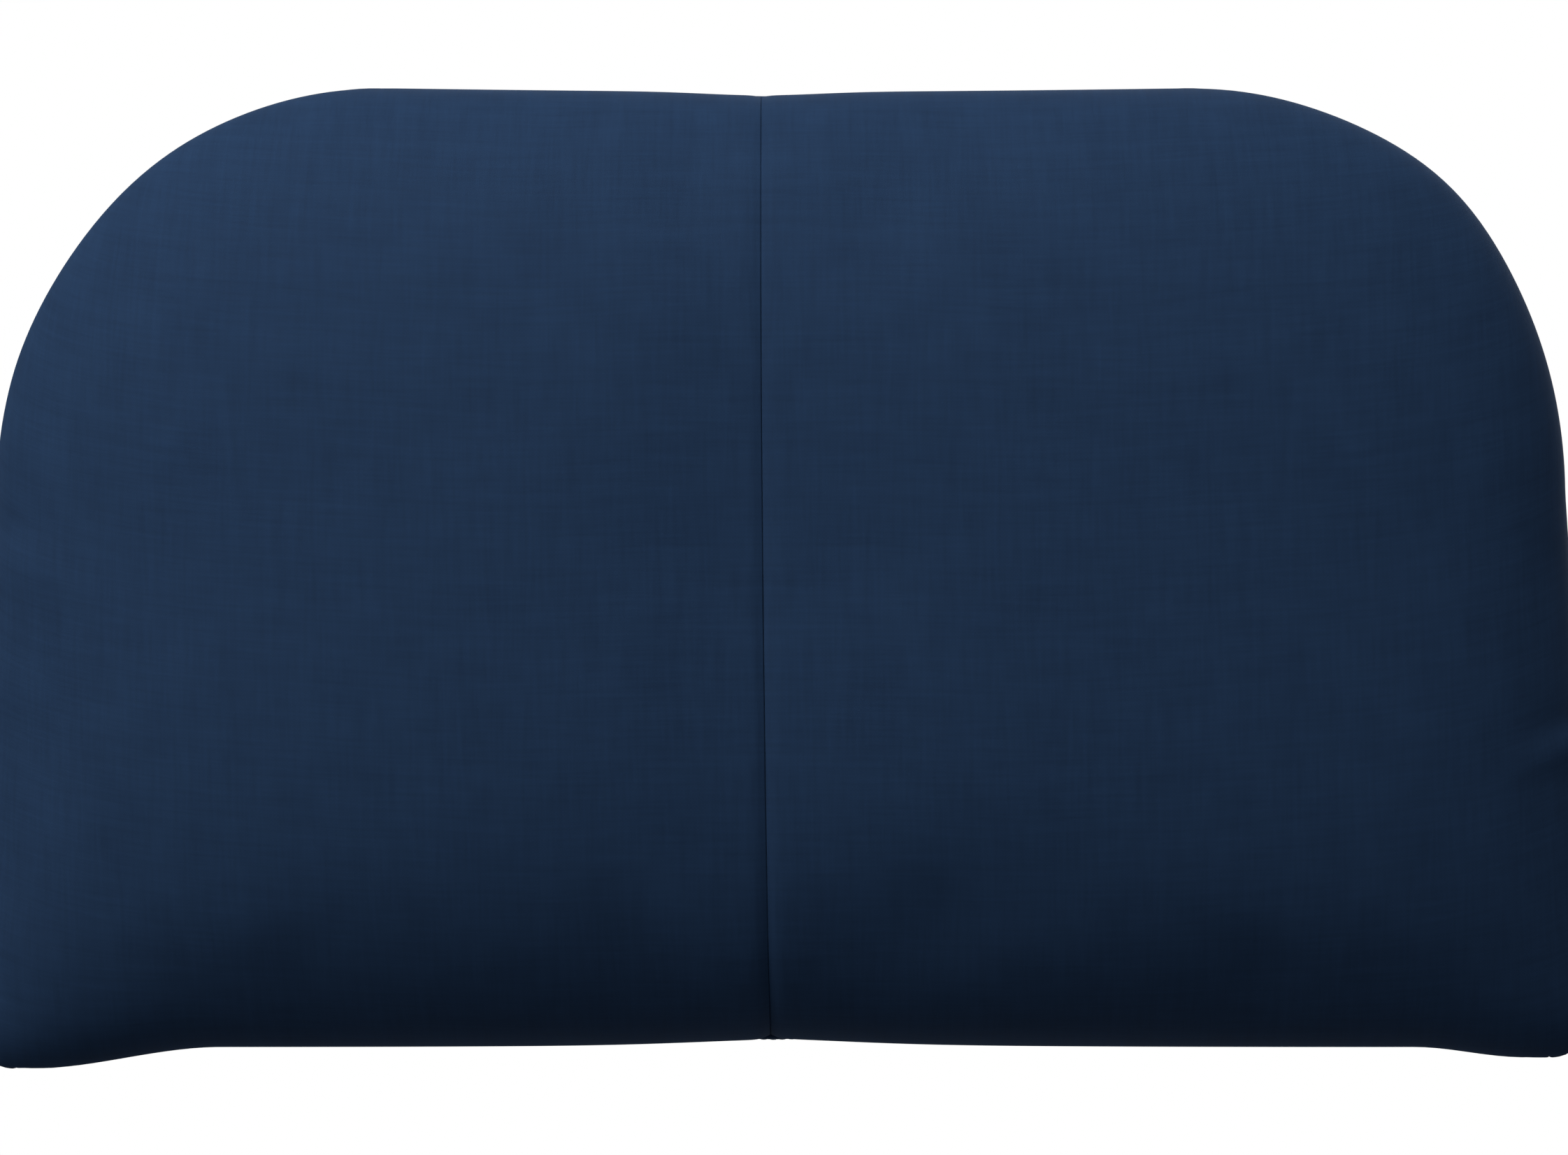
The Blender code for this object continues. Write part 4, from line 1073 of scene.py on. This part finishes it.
# ---------------------------------------------------------------- hardware

def hexagon(flat):
    """Radius of a hexagon with this half width across its flats."""
    def reach(angles):
        return flat / np.cos(np.mod(angles, np.pi / 3) - np.pi / 6)
    return reach


def cross(arm, half):
    """Radius of a cross recess with arms of this length and half width."""
    def reach(angles):
        off = np.abs(np.mod(angles + np.pi / 4, np.pi / 2) - np.pi / 4)
        return np.minimum(arm, half / np.maximum(np.sin(off), 1e-6))
    return reach


def thread_rows(radius, depth, pitch, first_y, last_y):
    """Rows of a screw thread: a ridge that winds round as it goes along."""
    rows = []
    count = int(abs(last_y - first_y) / pitch * 8)
    for k in range(count + 1):
        y = first_y + (last_y - first_y) * k / count
        lead = smooth_step(k / 10) * smooth_step((count - k) / 10)

        def reach(angles, y=y, lead=lead):
            turn = np.mod(y / pitch - angles / (2 * np.pi), 1)
            ridge = 1 - np.abs(2 * turn - 1)
            return radius - depth * lead * (1 - ridge ** 0.8)

        rows.append((reach, y))
    return rows


def turned(node, word, body, slot, rows, material, closed=False, steps=48, sharp=35):
    """A body turned on a round node's own axis, which stands for that node.

    A row is (radius, y), and a radius may be a function of the angles round the turn.
    """
    x, z, _, _, _ = round_node(node)
    angles = 2 * np.pi * np.arange(steps) / steps
    lines = []
    for radius, y in rows:
        reach = radius(angles) if callable(radius) else radius
        circle = np.column_stack([x + reach * np.cos(angles), z + reach * np.sin(angles)])
        lines.append(level(circle, y))
    place(loft(f"{node}_{word}", lines, material, closed, sharp), body, slot, node)


def mm_rows(start, toward, *rows):
    """Rows given in mm: radius, or a shaped radius in metres, and distance from the start."""
    return [(radius if callable(radius) else radius * MM, start + toward * distance * MM)
            for radius, distance in rows]


def make_wall_screw(node, steel):
    """A countersunk wood screw with a cross recess."""
    _, _, head, top, tip = round_node(node)
    head /= MM
    rows = mm_rows(top, 1, (cross(1.2 * MM, 0.4 * MM), 2.0), (cross(2.3 * MM, 0.55 * MM), 0.25),
                   (2.75, 0.02), (3.2, 0.1), (3.9, 0.55), (4.35, 1.2), (head, 1.9), (head, 2.6),
                   (head - 0.25, 2.8), (2.3, 2.8), (2.3, 9))
    rows += thread_rows(2.3 * MM, 0.55 * MM, 2.2 * MM, top + 9.5 * MM, tip - 7 * MM)
    rows += mm_rows(tip, -1, (1.3, 4), (0.6, 1.6), (0.08, 0.02))
    turned(node, "turned", "wall", "zinc_steel", rows, steel, steps=40)


def make_rail_bolt(node, steel):
    """A button-head machine bolt with a hexagon socket."""
    _, _, head, tip, top = round_node(node)
    head /= MM
    rows = mm_rows(top, -1, (hexagon(0.57 * MM), 2.3), (hexagon(1.95 * MM), 2.1),
                   (hexagon(2.0 * MM), 0.15), (2.75, 0), (3.1, 0.04), (3.9, 0.42), (4.7, 1.05),
                   (5.1, 1.6), (head, 2.1), (head, 2.6), (head - 0.15, 2.8), (3.0, 2.8))
    rows += thread_rows(3.0 * MM, 0.4 * MM, 1.0 * MM, top - 5 * MM, tip + 0.6 * MM)
    rows += [(2.5 * MM, tip)]
    turned(node, "turned", "pad", "zinc_steel", rows, steel, steps=36)


def make_tee_nut(node, steel):
    """A rolled flange on a plain barrel."""
    _, _, flange, front, back = round_node(node)
    edge = 0.5 * MM
    rows = [(3.3 * MM, front)] + arc_rows(flange - edge, front + edge, edge, -90, 0, 4)
    rows += mm_rows(front, 1, (flange / MM, 1.3), (4.6, 1.3), (4.0, 2.0))
    rows += mm_rows(back, -1, (4.0, 0.3), (3.8, 0), (3.3, 0))
    turned(node, "turned", "pad", "zinc_steel", rows, steel, closed=True)


def make_bumper_screw(node, steel):
    """A pan-head screw with a cross recess."""
    _, _, head, tip, top = round_node(node)
    head /= MM
    rows = mm_rows(top, -1, (cross(1.1 * MM, 0.35 * MM), 1.35), (cross(1.9 * MM, 0.5 * MM), 0.15),
                   (2.25, 0), (2.7, 0.08), (3.4, 0.45), (head - 0.05, 0.95), (head, 1.4),
                   (head - 0.1, 1.7), (2.0, 1.7), (2.0, 3.5))
    rows += thread_rows(2.0 * MM, 0.45 * MM, 1.8 * MM, top - 4.2 * MM, tip + 4 * MM)
    rows += mm_rows(tip, 1, (1.0, 2), (0.1, 0))
    turned(node, "turned", "pad", "zinc_steel", rows, steel, steps=36)


def make_bumper_washer(node, steel):
    """A flat washer with softened edges."""
    _, _, outer, low_y, high_y = round_node(node)
    edge = 0.25 * MM
    rows = [(2.4 * MM, low_y), (outer - edge, low_y), (outer, low_y + edge),
            (outer, high_y - edge), (outer - edge, high_y), (2.4 * MM, high_y)]
    turned(node, "turned", "pad", "zinc_steel", rows, steel, closed=True)


def make_screws(steel):
    """Wall screws, rail bolts, T-nuts and the bumpers' screws and washers, finely turned."""
    for k in range(1, 5):
        make_wall_screw(f"wall_screw_{k}", steel)
        make_rail_bolt(f"rail_bolt_{k}", steel)
        make_tee_nut(f"tee_nut_{k}", steel)
    for word in ("left", "right"):
        make_bumper_screw(f"bumper_screw_{word}", steel)
        make_bumper_washer(f"bumper_washer_{word}", steel)


def make_bumpers(rubber):
    """Moulded rubber buffers: rounded edge, a shallow groove round the face and a sunk middle."""
    for word in ("left", "right"):
        _, _, outer, back, face = round_node(f"bumper_{word}")
        rows = [(2.4 * MM, back), (outer - 0.3 * MM, back), (outer, back + 0.3 * MM),
                (outer - 0.2 * MM, back + 3.5 * MM)]
        rows += arc_rows(outer - 1.9 * MM, face - 1.7 * MM, 1.7 * MM, 0, 90, 6)
        rows += [(outer - 4.6 * MM, face)]
        rows += arc_rows(outer - 5.4 * MM, face, 0.8 * MM, 0, -180, 7)
        rows += [(outer - 6.2 * MM, face), (6.9 * MM, face)]
        rows += arc_rows(6.7 * MM, face - 0.7 * MM, 0.7 * MM, 90, 180, 5)
        rows += mm_rows(face, -1, (6.0, 3.5), (2.4, 3.5))
        turned(f"bumper_{word}", "moulded", "pad", "black_rubber", rows, rubber, closed=True,
                 steps=64)


def make_eyelets(brass):
    """Rolled brass eyelets with a washer side inside the cover."""
    for k in range(1, 5):
        _, _, flange, inside, face = round_node(f"vent_eyelet_{k}")
        rows = [(3.5 * MM, inside + 0.4 * MM), (3.5 * MM, face - 0.6 * MM)]
        rows += arc_rows(4.3 * MM, face - 0.75 * MM, 0.75 * MM, 160, 60, 7)
        rows += [(flange - 0.6 * MM, face - 0.35 * MM), (flange, face - 0.7 * MM),
                 (flange, REAR_Y + 0.12 * MM), (4.5 * MM, REAR_Y + 0.12 * MM)]
        rows += mm_rows(inside, 1, (4.5, 0.8), (6.0, 0.75), (5.8, 0.1), (4.0, 0))
        turned(f"vent_eyelet_{k}", "rolled", "pad", "eyelet_brass", rows, brass, closed=True,
                 sharp=50)


# ---------------------------------------------------------------- materials

class Nodes:
    """Short helper for building one node material."""

    def __init__(self, name, metallic=0.0, specular=None):
        self.material = bpy.data.materials.new(name)
        self.material.use_nodes = True
        self.tree = self.material.node_tree
        self.shader = self.tree.nodes["Principled BSDF"]
        self.set("Metallic", metallic)
        if specular is not None:
            self.set("Specular IOR Level", specular)

    def set(self, socket, value):
        self.shader.inputs[socket].default_value = value

    def add(self, kind, **values):
        node = self.tree.nodes.new(kind)
        for key, value in values.items():
            setattr(node, key, value)
        return node

    def link(self, source, target):
        self.tree.links.new(source, target)

    def value(self, operation, first, second=None, third=None, clamp=False):
        node = self.add("ShaderNodeMath", operation=operation, use_clamp=clamp)
        for socket, item in zip(node.inputs, (first, second, third)):
            if item is None:
                continue
            if isinstance(item, (int, float)):
                socket.default_value = item
            else:
                self.link(item, socket)
        return node.outputs[0]

    def total(self, *items):
        sum_so_far = items[0]
        for item in items[1:]:
            sum_so_far = self.value("ADD", sum_so_far, item)
        return sum_so_far

    def scaled(self, item, factor, shift=0.0):
        return self.value("MULTIPLY_ADD", item, factor, shift)

    def mix(self, factor, first, second):
        node = self.add("ShaderNodeMix", data_type="RGBA")
        for socket, item in ((node.inputs[0], factor), (node.inputs[6], first),
                             (node.inputs[7], second)):
            if isinstance(item, (int, float)):
                socket.default_value = item
            elif isinstance(item, tuple):
                socket.default_value = (*item, 1.0)
            else:
                self.link(item, socket)
        return node.outputs[2]

    def span(self, item, low, high):
        """0 below low and 1 above high, smoothly."""
        node = self.add("ShaderNodeMapRange", interpolation_type="SMOOTHSTEP")
        self.link(item, node.inputs["Value"])
        node.inputs["From Min"].default_value = low
        node.inputs["From Max"].default_value = high
        return node.outputs["Result"]

    def stretched(self, vector, stretch):
        mapping = self.add("ShaderNodeMapping")
        mapping.inputs["Scale"].default_value = stretch
        self.link(vector, mapping.inputs["Vector"])
        return mapping.outputs["Vector"]

    def noise(self, vector, scale, detail=3.0, roughness=0.5, stretch=None):
        if stretch:
            vector = self.stretched(vector, stretch)
        node = self.add("ShaderNodeTexNoise")
        node.inputs["Scale"].default_value = scale
        node.inputs["Detail"].default_value = detail
        node.inputs["Roughness"].default_value = roughness
        self.link(vector, node.inputs["Vector"])
        return node.outputs["Fac"]

    def cells(self, vector, scale):
        node = self.add("ShaderNodeTexVoronoi")
        node.inputs["Scale"].default_value = scale
        self.link(vector, node.inputs["Vector"])
        return node.outputs["Distance"]

    def object_coordinates(self):
        return self.add("ShaderNodeTexCoord").outputs["Object"]

    def cloth_coordinates(self):
        return self.add("ShaderNodeUVMap", uv_map="cloth").outputs["UV"]

    def parts(self, vector):
        node = self.add("ShaderNodeSeparateXYZ")
        self.link(vector, node.inputs[0])
        return node.outputs

    def wave(self, item, pitch):
        return self.value("SINE", self.value("MULTIPLY", item, 2 * math.pi / pitch))

    def finish(self, colour, roughness, height, strength, distance):
        """The material with these links for its colour, roughness and bump."""
        self.link(colour, self.shader.inputs["Base Color"])
        self.link(roughness, self.shader.inputs["Roughness"])
        node = self.add("ShaderNodeBump")
        node.inputs["Strength"].default_value = strength
        node.inputs["Distance"].default_value = distance
        self.link(height, node.inputs["Height"])
        self.link(node.outputs["Normal"], self.shader.inputs["Normal"])
        return self.material


def woven_cloth(name, dark, light, pitch, roughness, sheen, tint, coarse=0.35):
    """Plain weave with slubs: threads run along both cloth directions."""
    nodes = Nodes(name, specular=0.08)
    place_on_cloth = nodes.cloth_coordinates()
    run = nodes.parts(place_on_cloth)
    weave = nodes.value("MULTIPLY", nodes.wave(run[0], pitch), nodes.wave(run[1], pitch))
    slub_warp = nodes.noise(place_on_cloth, 1.0, 2.0, stretch=(650, 40, 1))
    slub_weft = nodes.noise(place_on_cloth, 1.0, 2.0, stretch=(40, 650, 1))
    slubs = nodes.value("ADD", slub_warp, slub_weft)
    height = nodes.total(nodes.scaled(weave, coarse), slubs)
    streak_warp = nodes.noise(place_on_cloth, 1.0, 3.0, stretch=(230, 14, 1))
    streak_weft = nodes.noise(place_on_cloth, 1.0, 3.0, stretch=(14, 230, 1))
    streaks = nodes.value("ADD", streak_warp, streak_weft)
    cloud = nodes.noise(place_on_cloth, 40.0, 3.0)
    lint = nodes.span(nodes.noise(place_on_cloth, 700.0, 1.0), 0.70, 0.78)
    shade = nodes.total(nodes.scaled(slubs, 0.55, -0.55), nodes.scaled(weave, 0.10),
                        nodes.scaled(streaks, 0.36, -0.36), nodes.scaled(cloud, 0.50, 0.22))
    shade = nodes.value("ADD", shade, nodes.scaled(lint, 0.25), clamp=True)
    nodes.set("Sheen Weight", sheen)
    nodes.set("Sheen Roughness", 0.45)
    nodes.set("Sheen Tint", (*tint, 1.0))
    return nodes.finish(nodes.mix(shade, dark, light),
                        nodes.scaled(slubs, 0.10, roughness - 0.10), height, 0.35, 0.12 * MM)


def herringbone(name, dark, light):
    """Narrow woven tape: slanted ribs that turn back every few millimetres."""
    nodes = Nodes(name, specular=0.3)
    where = nodes.object_coordinates()
    run = nodes.parts(where)
    turn = nodes.value("PINGPONG", run[1], 1.6 * MM)
    ribs = nodes.wave(nodes.value("ADD", run[0], turn), 0.7 * MM)
    threads = nodes.wave(run[1], 0.35 * MM)
    fuzz = nodes.noise(where, 1500.0, 2.0)
    height = nodes.total(ribs, nodes.scaled(threads, 0.4), fuzz)
    shade = nodes.value("ADD", nodes.scaled(ribs, 0.28, 0.3), nodes.scaled(fuzz, 0.4), clamp=True)
    nodes.set("Sheen Weight", 0.15)
    return nodes.finish(nodes.mix(shade, dark, light), nodes.scaled(fuzz, 0.2, 0.66), height,
                        0.5, 0.1 * MM)


def sewing_thread(name, dark, light):
    """Twisted polyester thread."""
    nodes = Nodes(name, specular=0.45)
    run = nodes.parts(nodes.object_coordinates())
    slant = nodes.total(run[0], nodes.scaled(run[1], 0.7), nodes.scaled(run[2], 0.9))
    twist = nodes.wave(slant, 0.33 * MM)
    colour = nodes.mix(nodes.scaled(twist, 0.5, 0.5), dark, light)
    return nodes.finish(colour, nodes.scaled(twist, 0.06, 0.42), twist, 0.4, 0.05 * MM)


def foam(name, dark, light, cell, flecks=()):
    """Open-cell foam: pores of two sizes, painted darker as shade in their hollows, and bits of other
    foams where it is rebonded.
    """
    nodes = Nodes(name, specular=0.15)
    where = nodes.object_coordinates()
    pores = nodes.cells(where, 1 / cell)
    big = nodes.span(nodes.cells(where, 0.28 / cell), 0.16, 0.42)
    cloud = nodes.noise(where, 12.0, 3.0)
    # Painted shade: the pores and big cells, which the bump sinks as pits, are mixed towards the dark
    # colour
    shade = nodes.value("MULTIPLY", nodes.span(pores, 0.10, 0.62), big, clamp=True)
    shade = nodes.value("MULTIPLY", shade, nodes.scaled(cloud, 0.6, 0.65), clamp=True)
    base = nodes.mix(shade, dark, light)
    for number, fleck in enumerate(flecks):
        patch = nodes.noise(where, 150.0 + 37 * number, 1.0)
        base = nodes.mix(nodes.span(patch, 0.60, 0.64), base, fleck)
    nodes.set("Subsurface Weight", 0.08)
    nodes.set("Subsurface Radius", (0.004, 0.003, 0.002))
    return nodes.finish(base, nodes.scaled(cloud, 0.15, 0.82), nodes.value("ADD", pores, big),
                        0.7, 0.6 * MM)


def fibre_wadding(name):
    """Lofty polyester fibre: crossing hairs at two scales."""
    nodes = Nodes(name, specular=0.3)
    where = nodes.object_coordinates()
    strands = [nodes.noise(where, 1.0, 4.0, 0.6, stretch=stretch)
               for stretch in ((1400, 160, 160), (160, 160, 1400), (700, 700, 120))]
    fluff = nodes.total(*strands)
    shade = nodes.span(fluff, 1.15, 1.95)
    nodes.set("Sheen Weight", 0.3)
    return nodes.finish(nodes.mix(shade, (0.58, 0.58, 0.56), (0.90, 0.90, 0.88)),
                        nodes.scaled(fluff, 0.1, 0.7), fluff, 0.8, 0.8 * MM)


def plywood(name):
    """Birch plywood: plies along the board's thickness and grain along its faces."""
    nodes = Nodes(name, specular=0.35)
    where = nodes.object_coordinates()
    run = nodes.parts(where)
    ply = nodes.wave(run[1], 2.6 * MM)
    grain_x = nodes.noise(where, 1.0, 5.0, 0.6, stretch=(9, 700, 130))
    grain_z = nodes.noise(where, 1.0, 5.0, 0.6, stretch=(130, 700, 9))
    rings = nodes.wave(nodes.total(nodes.scaled(grain_x, 0.05), run[2]), 17 * MM)
    cross_ply = nodes.span(ply, -0.1, 0.1)
    grain = nodes.mix(cross_ply, grain_x, grain_z)
    base = nodes.mix(grain, (0.42, 0.26, 0.13), (0.74, 0.56, 0.36))
    base = nodes.mix(nodes.scaled(rings, 0.16, 0.16), base, (0.50, 0.32, 0.17))
    knots = nodes.span(nodes.cells(where, 9.0), 0.0, 0.07)
    base = nodes.mix(knots, (0.20, 0.10, 0.05), base)
    height = nodes.value("ADD", grain_x, nodes.scaled(ply, 0.1))
    return nodes.finish(base, nodes.scaled(grain_x, 0.2, 0.5), height, 0.3, 0.15 * MM)


def extruded_aluminium(name):
    """Mill-finish extrusion: die lines along X, handling scratches and dull patches."""
    nodes = Nodes(name, metallic=1.0)
    where = nodes.object_coordinates()
    lines = nodes.noise(where, 1.0, 4.0, 0.7, stretch=(3, 1800, 1800))
    coarse_lines = nodes.noise(where, 1.0, 2.0, 0.5, stretch=(5, 420, 420))
    dull = nodes.noise(where, 26.0, 4.0, 0.6)
    scratch = nodes.noise(where, 1.0, 1.0, 0.4, stretch=(240, 60, 1500))
    scratches = nodes.span(scratch, 0.66, 0.72)
    shade = nodes.total(nodes.scaled(lines, 0.55), nodes.scaled(coarse_lines, 0.25),
                        nodes.scaled(dull, 0.35))
    base = nodes.mix(nodes.span(shade, 0.30, 0.85), (0.40, 0.41, 0.43), (0.66, 0.67, 0.68))
    nodes.set("Anisotropic", 0.35)
    return nodes.finish(nodes.mix(nodes.scaled(scratches, 0.25), base, (0.82, 0.82, 0.83)),
                        nodes.total(nodes.scaled(lines, 0.16, 0.20), nodes.scaled(dull, 0.22)),
                        nodes.total(lines, coarse_lines, nodes.scaled(scratches, 0.5)),
                        0.22, 0.05 * MM)


def plated_metal(name, dark, light, blush, scale, low_roughness):
    """Plated or spun metal: cloudy plating, fine turning marks and wear."""
    nodes = Nodes(name, metallic=1.0)
    where = nodes.object_coordinates()
    cloud = nodes.noise(where, scale, 4.0, 0.6)
    fine = nodes.noise(where, scale * 12, 3.0, 0.6)
    tarnish = nodes.span(nodes.noise(where, scale * 0.6, 3.0), 0.48, 0.72)
    base = nodes.mix(nodes.span(cloud, 0.3, 0.7), dark, light)
    roughness = nodes.total(nodes.scaled(cloud, 0.20, low_roughness), nodes.scaled(fine, 0.12))
    return nodes.finish(nodes.mix(nodes.scaled(tarnish, 0.45), base, blush), roughness,
                        nodes.total(fine, nodes.scaled(cloud, 0.4)), 0.18, 0.05 * MM)


def moulded_rubber(name):
    nodes = Nodes(name, specular=0.35)
    where = nodes.object_coordinates()
    grain = nodes.noise(where, 1600.0, 3.0, 0.6)
    bloom = nodes.span(nodes.noise(where, 70.0, 3.0), 0.42, 0.75)
    base = nodes.mix(nodes.scaled(bloom, 0.55), (0.012, 0.012, 0.012), (0.045, 0.045, 0.043))
    roughness = nodes.total(nodes.scaled(bloom, 0.2, 0.52), nodes.scaled(grain, 0.12))
    return nodes.finish(nodes.mix(nodes.scaled(grain, 0.2), base, (0.03, 0.03, 0.03)), roughness,
                        grain, 0.35, 0.08 * MM)


def moulded_plastic(name, dark, light):
    nodes = Nodes(name, specular=0.45)
    where = nodes.object_coordinates()
    grain = nodes.noise(where, 1100.0, 2.0)
    cloud = nodes.noise(where, 45.0, 2.0)
    shade = nodes.value("ADD", nodes.scaled(grain, 0.5), nodes.scaled(cloud, 0.4), clamp=True)
    roughness = nodes.total(nodes.scaled(grain, 0.18, 0.30), nodes.scaled(cloud, 0.1))
    return nodes.finish(nodes.mix(shade, dark, light), roughness, grain, 0.2, 0.04 * MM)


def dress_cad_nodes(materials):
    """The CAD nodes whose own shape stays take these finishes."""
    for node, material in materials.items():
        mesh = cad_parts[node].data
        mesh.materials.clear()
        mesh.materials.append(material)


# ---------------------------------------------------------------- stage

# Area lights, all aimed at the middle of the front's rim: name, place, size in metres, watts
LIGHTS = [
    ("key_top_left", (-1.3, -1.7, 1.8), (1.4, 1.4), 66),
    ("top_bank", (-0.1, -0.9, 1.6), (1.6, 0.8), 12),
    ("left_fill", (-2.4, -0.9, -0.2), (0.8, 1.2), 10.5),
    ("right_fill", (2.0, -1.6, -0.5), (1.0, 0.8), 2.2),
    ("rear_fill", (0.6, 1.9, 0.5), (3.0, 2.4), 26),
    ("low_fill", (0.3, 0.5, -1.3), (1.6, 1.0), 1.8),
]


def make_lights():
    middle = Vector((0, RIM_Y, MID_Z))
    for name, spot, size, watts in LIGHTS:
        data = bpy.data.lights.new(name, "AREA")
        data.shape = "RECTANGLE"
        data.size, data.size_y = size
        data.energy = watts
        light = add_object(name, data)
        light.location = spot
        light.visible_camera = False
        light.rotation_mode = "QUATERNION"
        light.rotation_quaternion = (middle - Vector(spot)).to_track_quat("-Z", "Y")
    bpy.context.scene.view_settings.view_transform = "Standard"


# Colour of the dim fill from straight below and from above
FILL_LOW = (0.020, 0.016, 0.016)
FILL_HIGH = (0.34, 0.37, 0.40)


def make_world():
    """White behind the object, and a dim fill on it that comes mostly from above."""
    world = bpy.data.worlds.new("white_studio")
    bpy.context.scene.world = world
    world.use_nodes = True
    tree = world.node_tree
    tree.nodes.clear()
    add = tree.nodes.new
    link = tree.links.new
    seen = add("ShaderNodeBackground")
    seen.inputs["Color"].default_value = (1, 1, 1, 1)
    fill = add("ShaderNodeBackground")
    split = add("ShaderNodeSeparateXYZ")
    link(add("ShaderNodeTexCoord").outputs["Generated"], split.inputs[0])
    lift = add("ShaderNodeMath")
    lift.operation = "MULTIPLY_ADD"
    lift.inputs[1].default_value = 0.5
    lift.inputs[2].default_value = 0.5
    link(split.outputs["Z"], lift.inputs[0])
    ramp = add("ShaderNodeValToRGB")
    for element, position, colour in zip(ramp.color_ramp.elements, (0.0, 0.9),
                                         (FILL_LOW, FILL_HIGH)):
        element.position = position
        element.color = (*colour, 1)
    link(lift.outputs[0], ramp.inputs[0])
    link(ramp.outputs[0], fill.inputs["Color"])
    choose = add("ShaderNodeMixShader")
    link(add("ShaderNodeLightPath").outputs["Is Camera Ray"], choose.inputs[0])
    link(fill.outputs[0], choose.inputs[1])
    link(seen.outputs[0], choose.inputs[2])
    link(choose.outputs[0], add("ShaderNodeOutputWorld").inputs["Surface"])


FLOOR_DROP = 1.2             # how far the floor lies below the pad
FLOOR_RADIUS = 6.0
FLOOR_GLOW = 0.30            # keeps the far floor as pale as the near floor


def make_floor():
    """A pale floor that is seen, but neither lights the object nor shows in its reflections."""
    mesh = bpy.data.meshes.new("studio_floor")
    bm = bmesh.new()
    bmesh.ops.create_circle(bm, cap_ends=True, radius=FLOOR_RADIUS, segments=96)
    bm.to_mesh(mesh)
    bm.free()
    floor = add_object("studio_floor", mesh)
    floor.location = (0, 0, PAD_BOTTOM - FLOOR_DROP)
    nodes = Nodes("pale_floor")
    tone = nodes.noise(nodes.object_coordinates(), 1.5)
    nodes.link(nodes.mix(tone, (0.88, 0.88, 0.88), (0.92, 0.92, 0.92)),
               nodes.shader.inputs["Base Color"])
    nodes.set("Roughness", 0.7)
    nodes.set("Emission Color", (1.0, 1.0, 1.0, 1.0))
    nodes.set("Emission Strength", FLOOR_GLOW)
    mesh.materials.append(nodes.material)
    floor.visible_diffuse = False
    floor.visible_glossy = False


SEEN_WIDTH = 638.4 * MM      # what the picture shows across, in the plane of the front's rim
CAMERA_X = -1.0 * MM
CAMERA_Z = -74.2 * MM
LENS = 100                   # focal length in mm
SENSOR = 36                  # width in mm


def make_camera():
    data = bpy.data.cameras.new("camera")
    data.sensor_width = SENSOR
    data.lens = LENS
    camera = add_object("camera", data)
    camera.location = (CAMERA_X, RIM_Y - SEEN_WIDTH * LENS / SENSOR, CAMERA_Z)
    camera.rotation_euler = (math.pi / 2, 0, 0)
    bpy.context.scene.camera = camera


# ---------------------------------------------------------------- the whole

BLUE_SHEEN = (0.25, 0.50, 1.0)
navy = woven_cloth("navy_cloth", (0.0077, 0.0202, 0.0480), (0.0142, 0.0358, 0.0820),
                   0.55 * MM, 0.80, 0.05, BLUE_SHEEN)
navy_band = woven_cloth("navy_band_cloth", (0.0075, 0.0185, 0.0430), (0.0140, 0.0330, 0.0740),
                        0.7 * MM, 0.80, 0.05, BLUE_SHEEN, 0.5)
black_cloth = woven_cloth("black_back_cloth", (0.006, 0.007, 0.009), (0.026, 0.028, 0.033),
                          1.1 * MM, 0.78, 0.10, (0.8, 0.85, 0.95), 1.0)
tape_cloth = woven_cloth("seam_tape_weave", (0.012, 0.018, 0.032), (0.032, 0.045, 0.075),
                         0.8 * MM, 0.76, 0.10, BLUE_SHEEN, 0.7)
zip_cloth = herringbone("zip_tape_weave", (0.006, 0.013, 0.030), (0.020, 0.040, 0.082))
thread = sewing_thread("navy_thread", (0.012, 0.028, 0.062), (0.040, 0.075, 0.140))
black_thread = sewing_thread("black_thread", (0.010, 0.010, 0.012), (0.060, 0.062, 0.068))
steel = plated_metal("zinc_plate", (0.42, 0.43, 0.45), (0.72, 0.73, 0.74), (0.55, 0.52, 0.44),
                     120.0, 0.22)
zip_metal = plated_metal("zip_gunmetal", (0.14, 0.14, 0.15), (0.34, 0.34, 0.35),
                         (0.20, 0.19, 0.18), 200.0, 0.20)
brass = plated_metal("aged_brass", (0.45, 0.30, 0.11), (0.78, 0.58, 0.28), (0.30, 0.19, 0.08),
                     160.0, 0.20)
aluminium = extruded_aluminium("mill_extrusion")
teeth_plastic = moulded_plastic("navy_zip_plastic", (0.010, 0.020, 0.045), (0.028, 0.050, 0.10))

make_front_panels(navy)
make_seam_tape(tape_cloth)
make_side_band(navy_band, thread)
make_seam_cords(navy_band)
make_bottom_bands(navy_band, thread)
make_zip_end_tabs(navy_band)
make_rear_panel(black_cloth, black_thread)
make_padding(fibre_wadding("polyester_wadding"),
             foam("cream_strike_foam", (0.55, 0.48, 0.32), (0.86, 0.80, 0.62), 1.1 * MM),
             foam("charcoal_core_foam", (0.035, 0.035, 0.038), (0.13, 0.13, 0.14), 0.7 * MM),
             foam("rebonded_base_foam", (0.20, 0.24, 0.32), (0.42, 0.47, 0.55), 1.5 * MM,
                  ((0.75, 0.70, 0.30), (0.72, 0.36, 0.38), (0.80, 0.80, 0.78))))
make_zip_tapes(zip_cloth)
make_zip_teeth(teeth_plastic)
make_slider(zip_metal)
make_pull(zip_metal)
make_zip_stops(zip_metal)
make_screws(steel)
make_bumpers(moulded_rubber("moulded_black_rubber"))
make_eyelets(brass)
dress_cad_nodes({
    "wall_rail": aluminium, "board_rail": aluminium, "backboard": plywood("birch_ply"),
    "foam_edge_roll": foam("edge_roll_foam", (0.48, 0.45, 0.40), (0.80, 0.77, 0.70), 1.2 * MM)})
make_camera()
make_world()
make_floor()
make_lights()
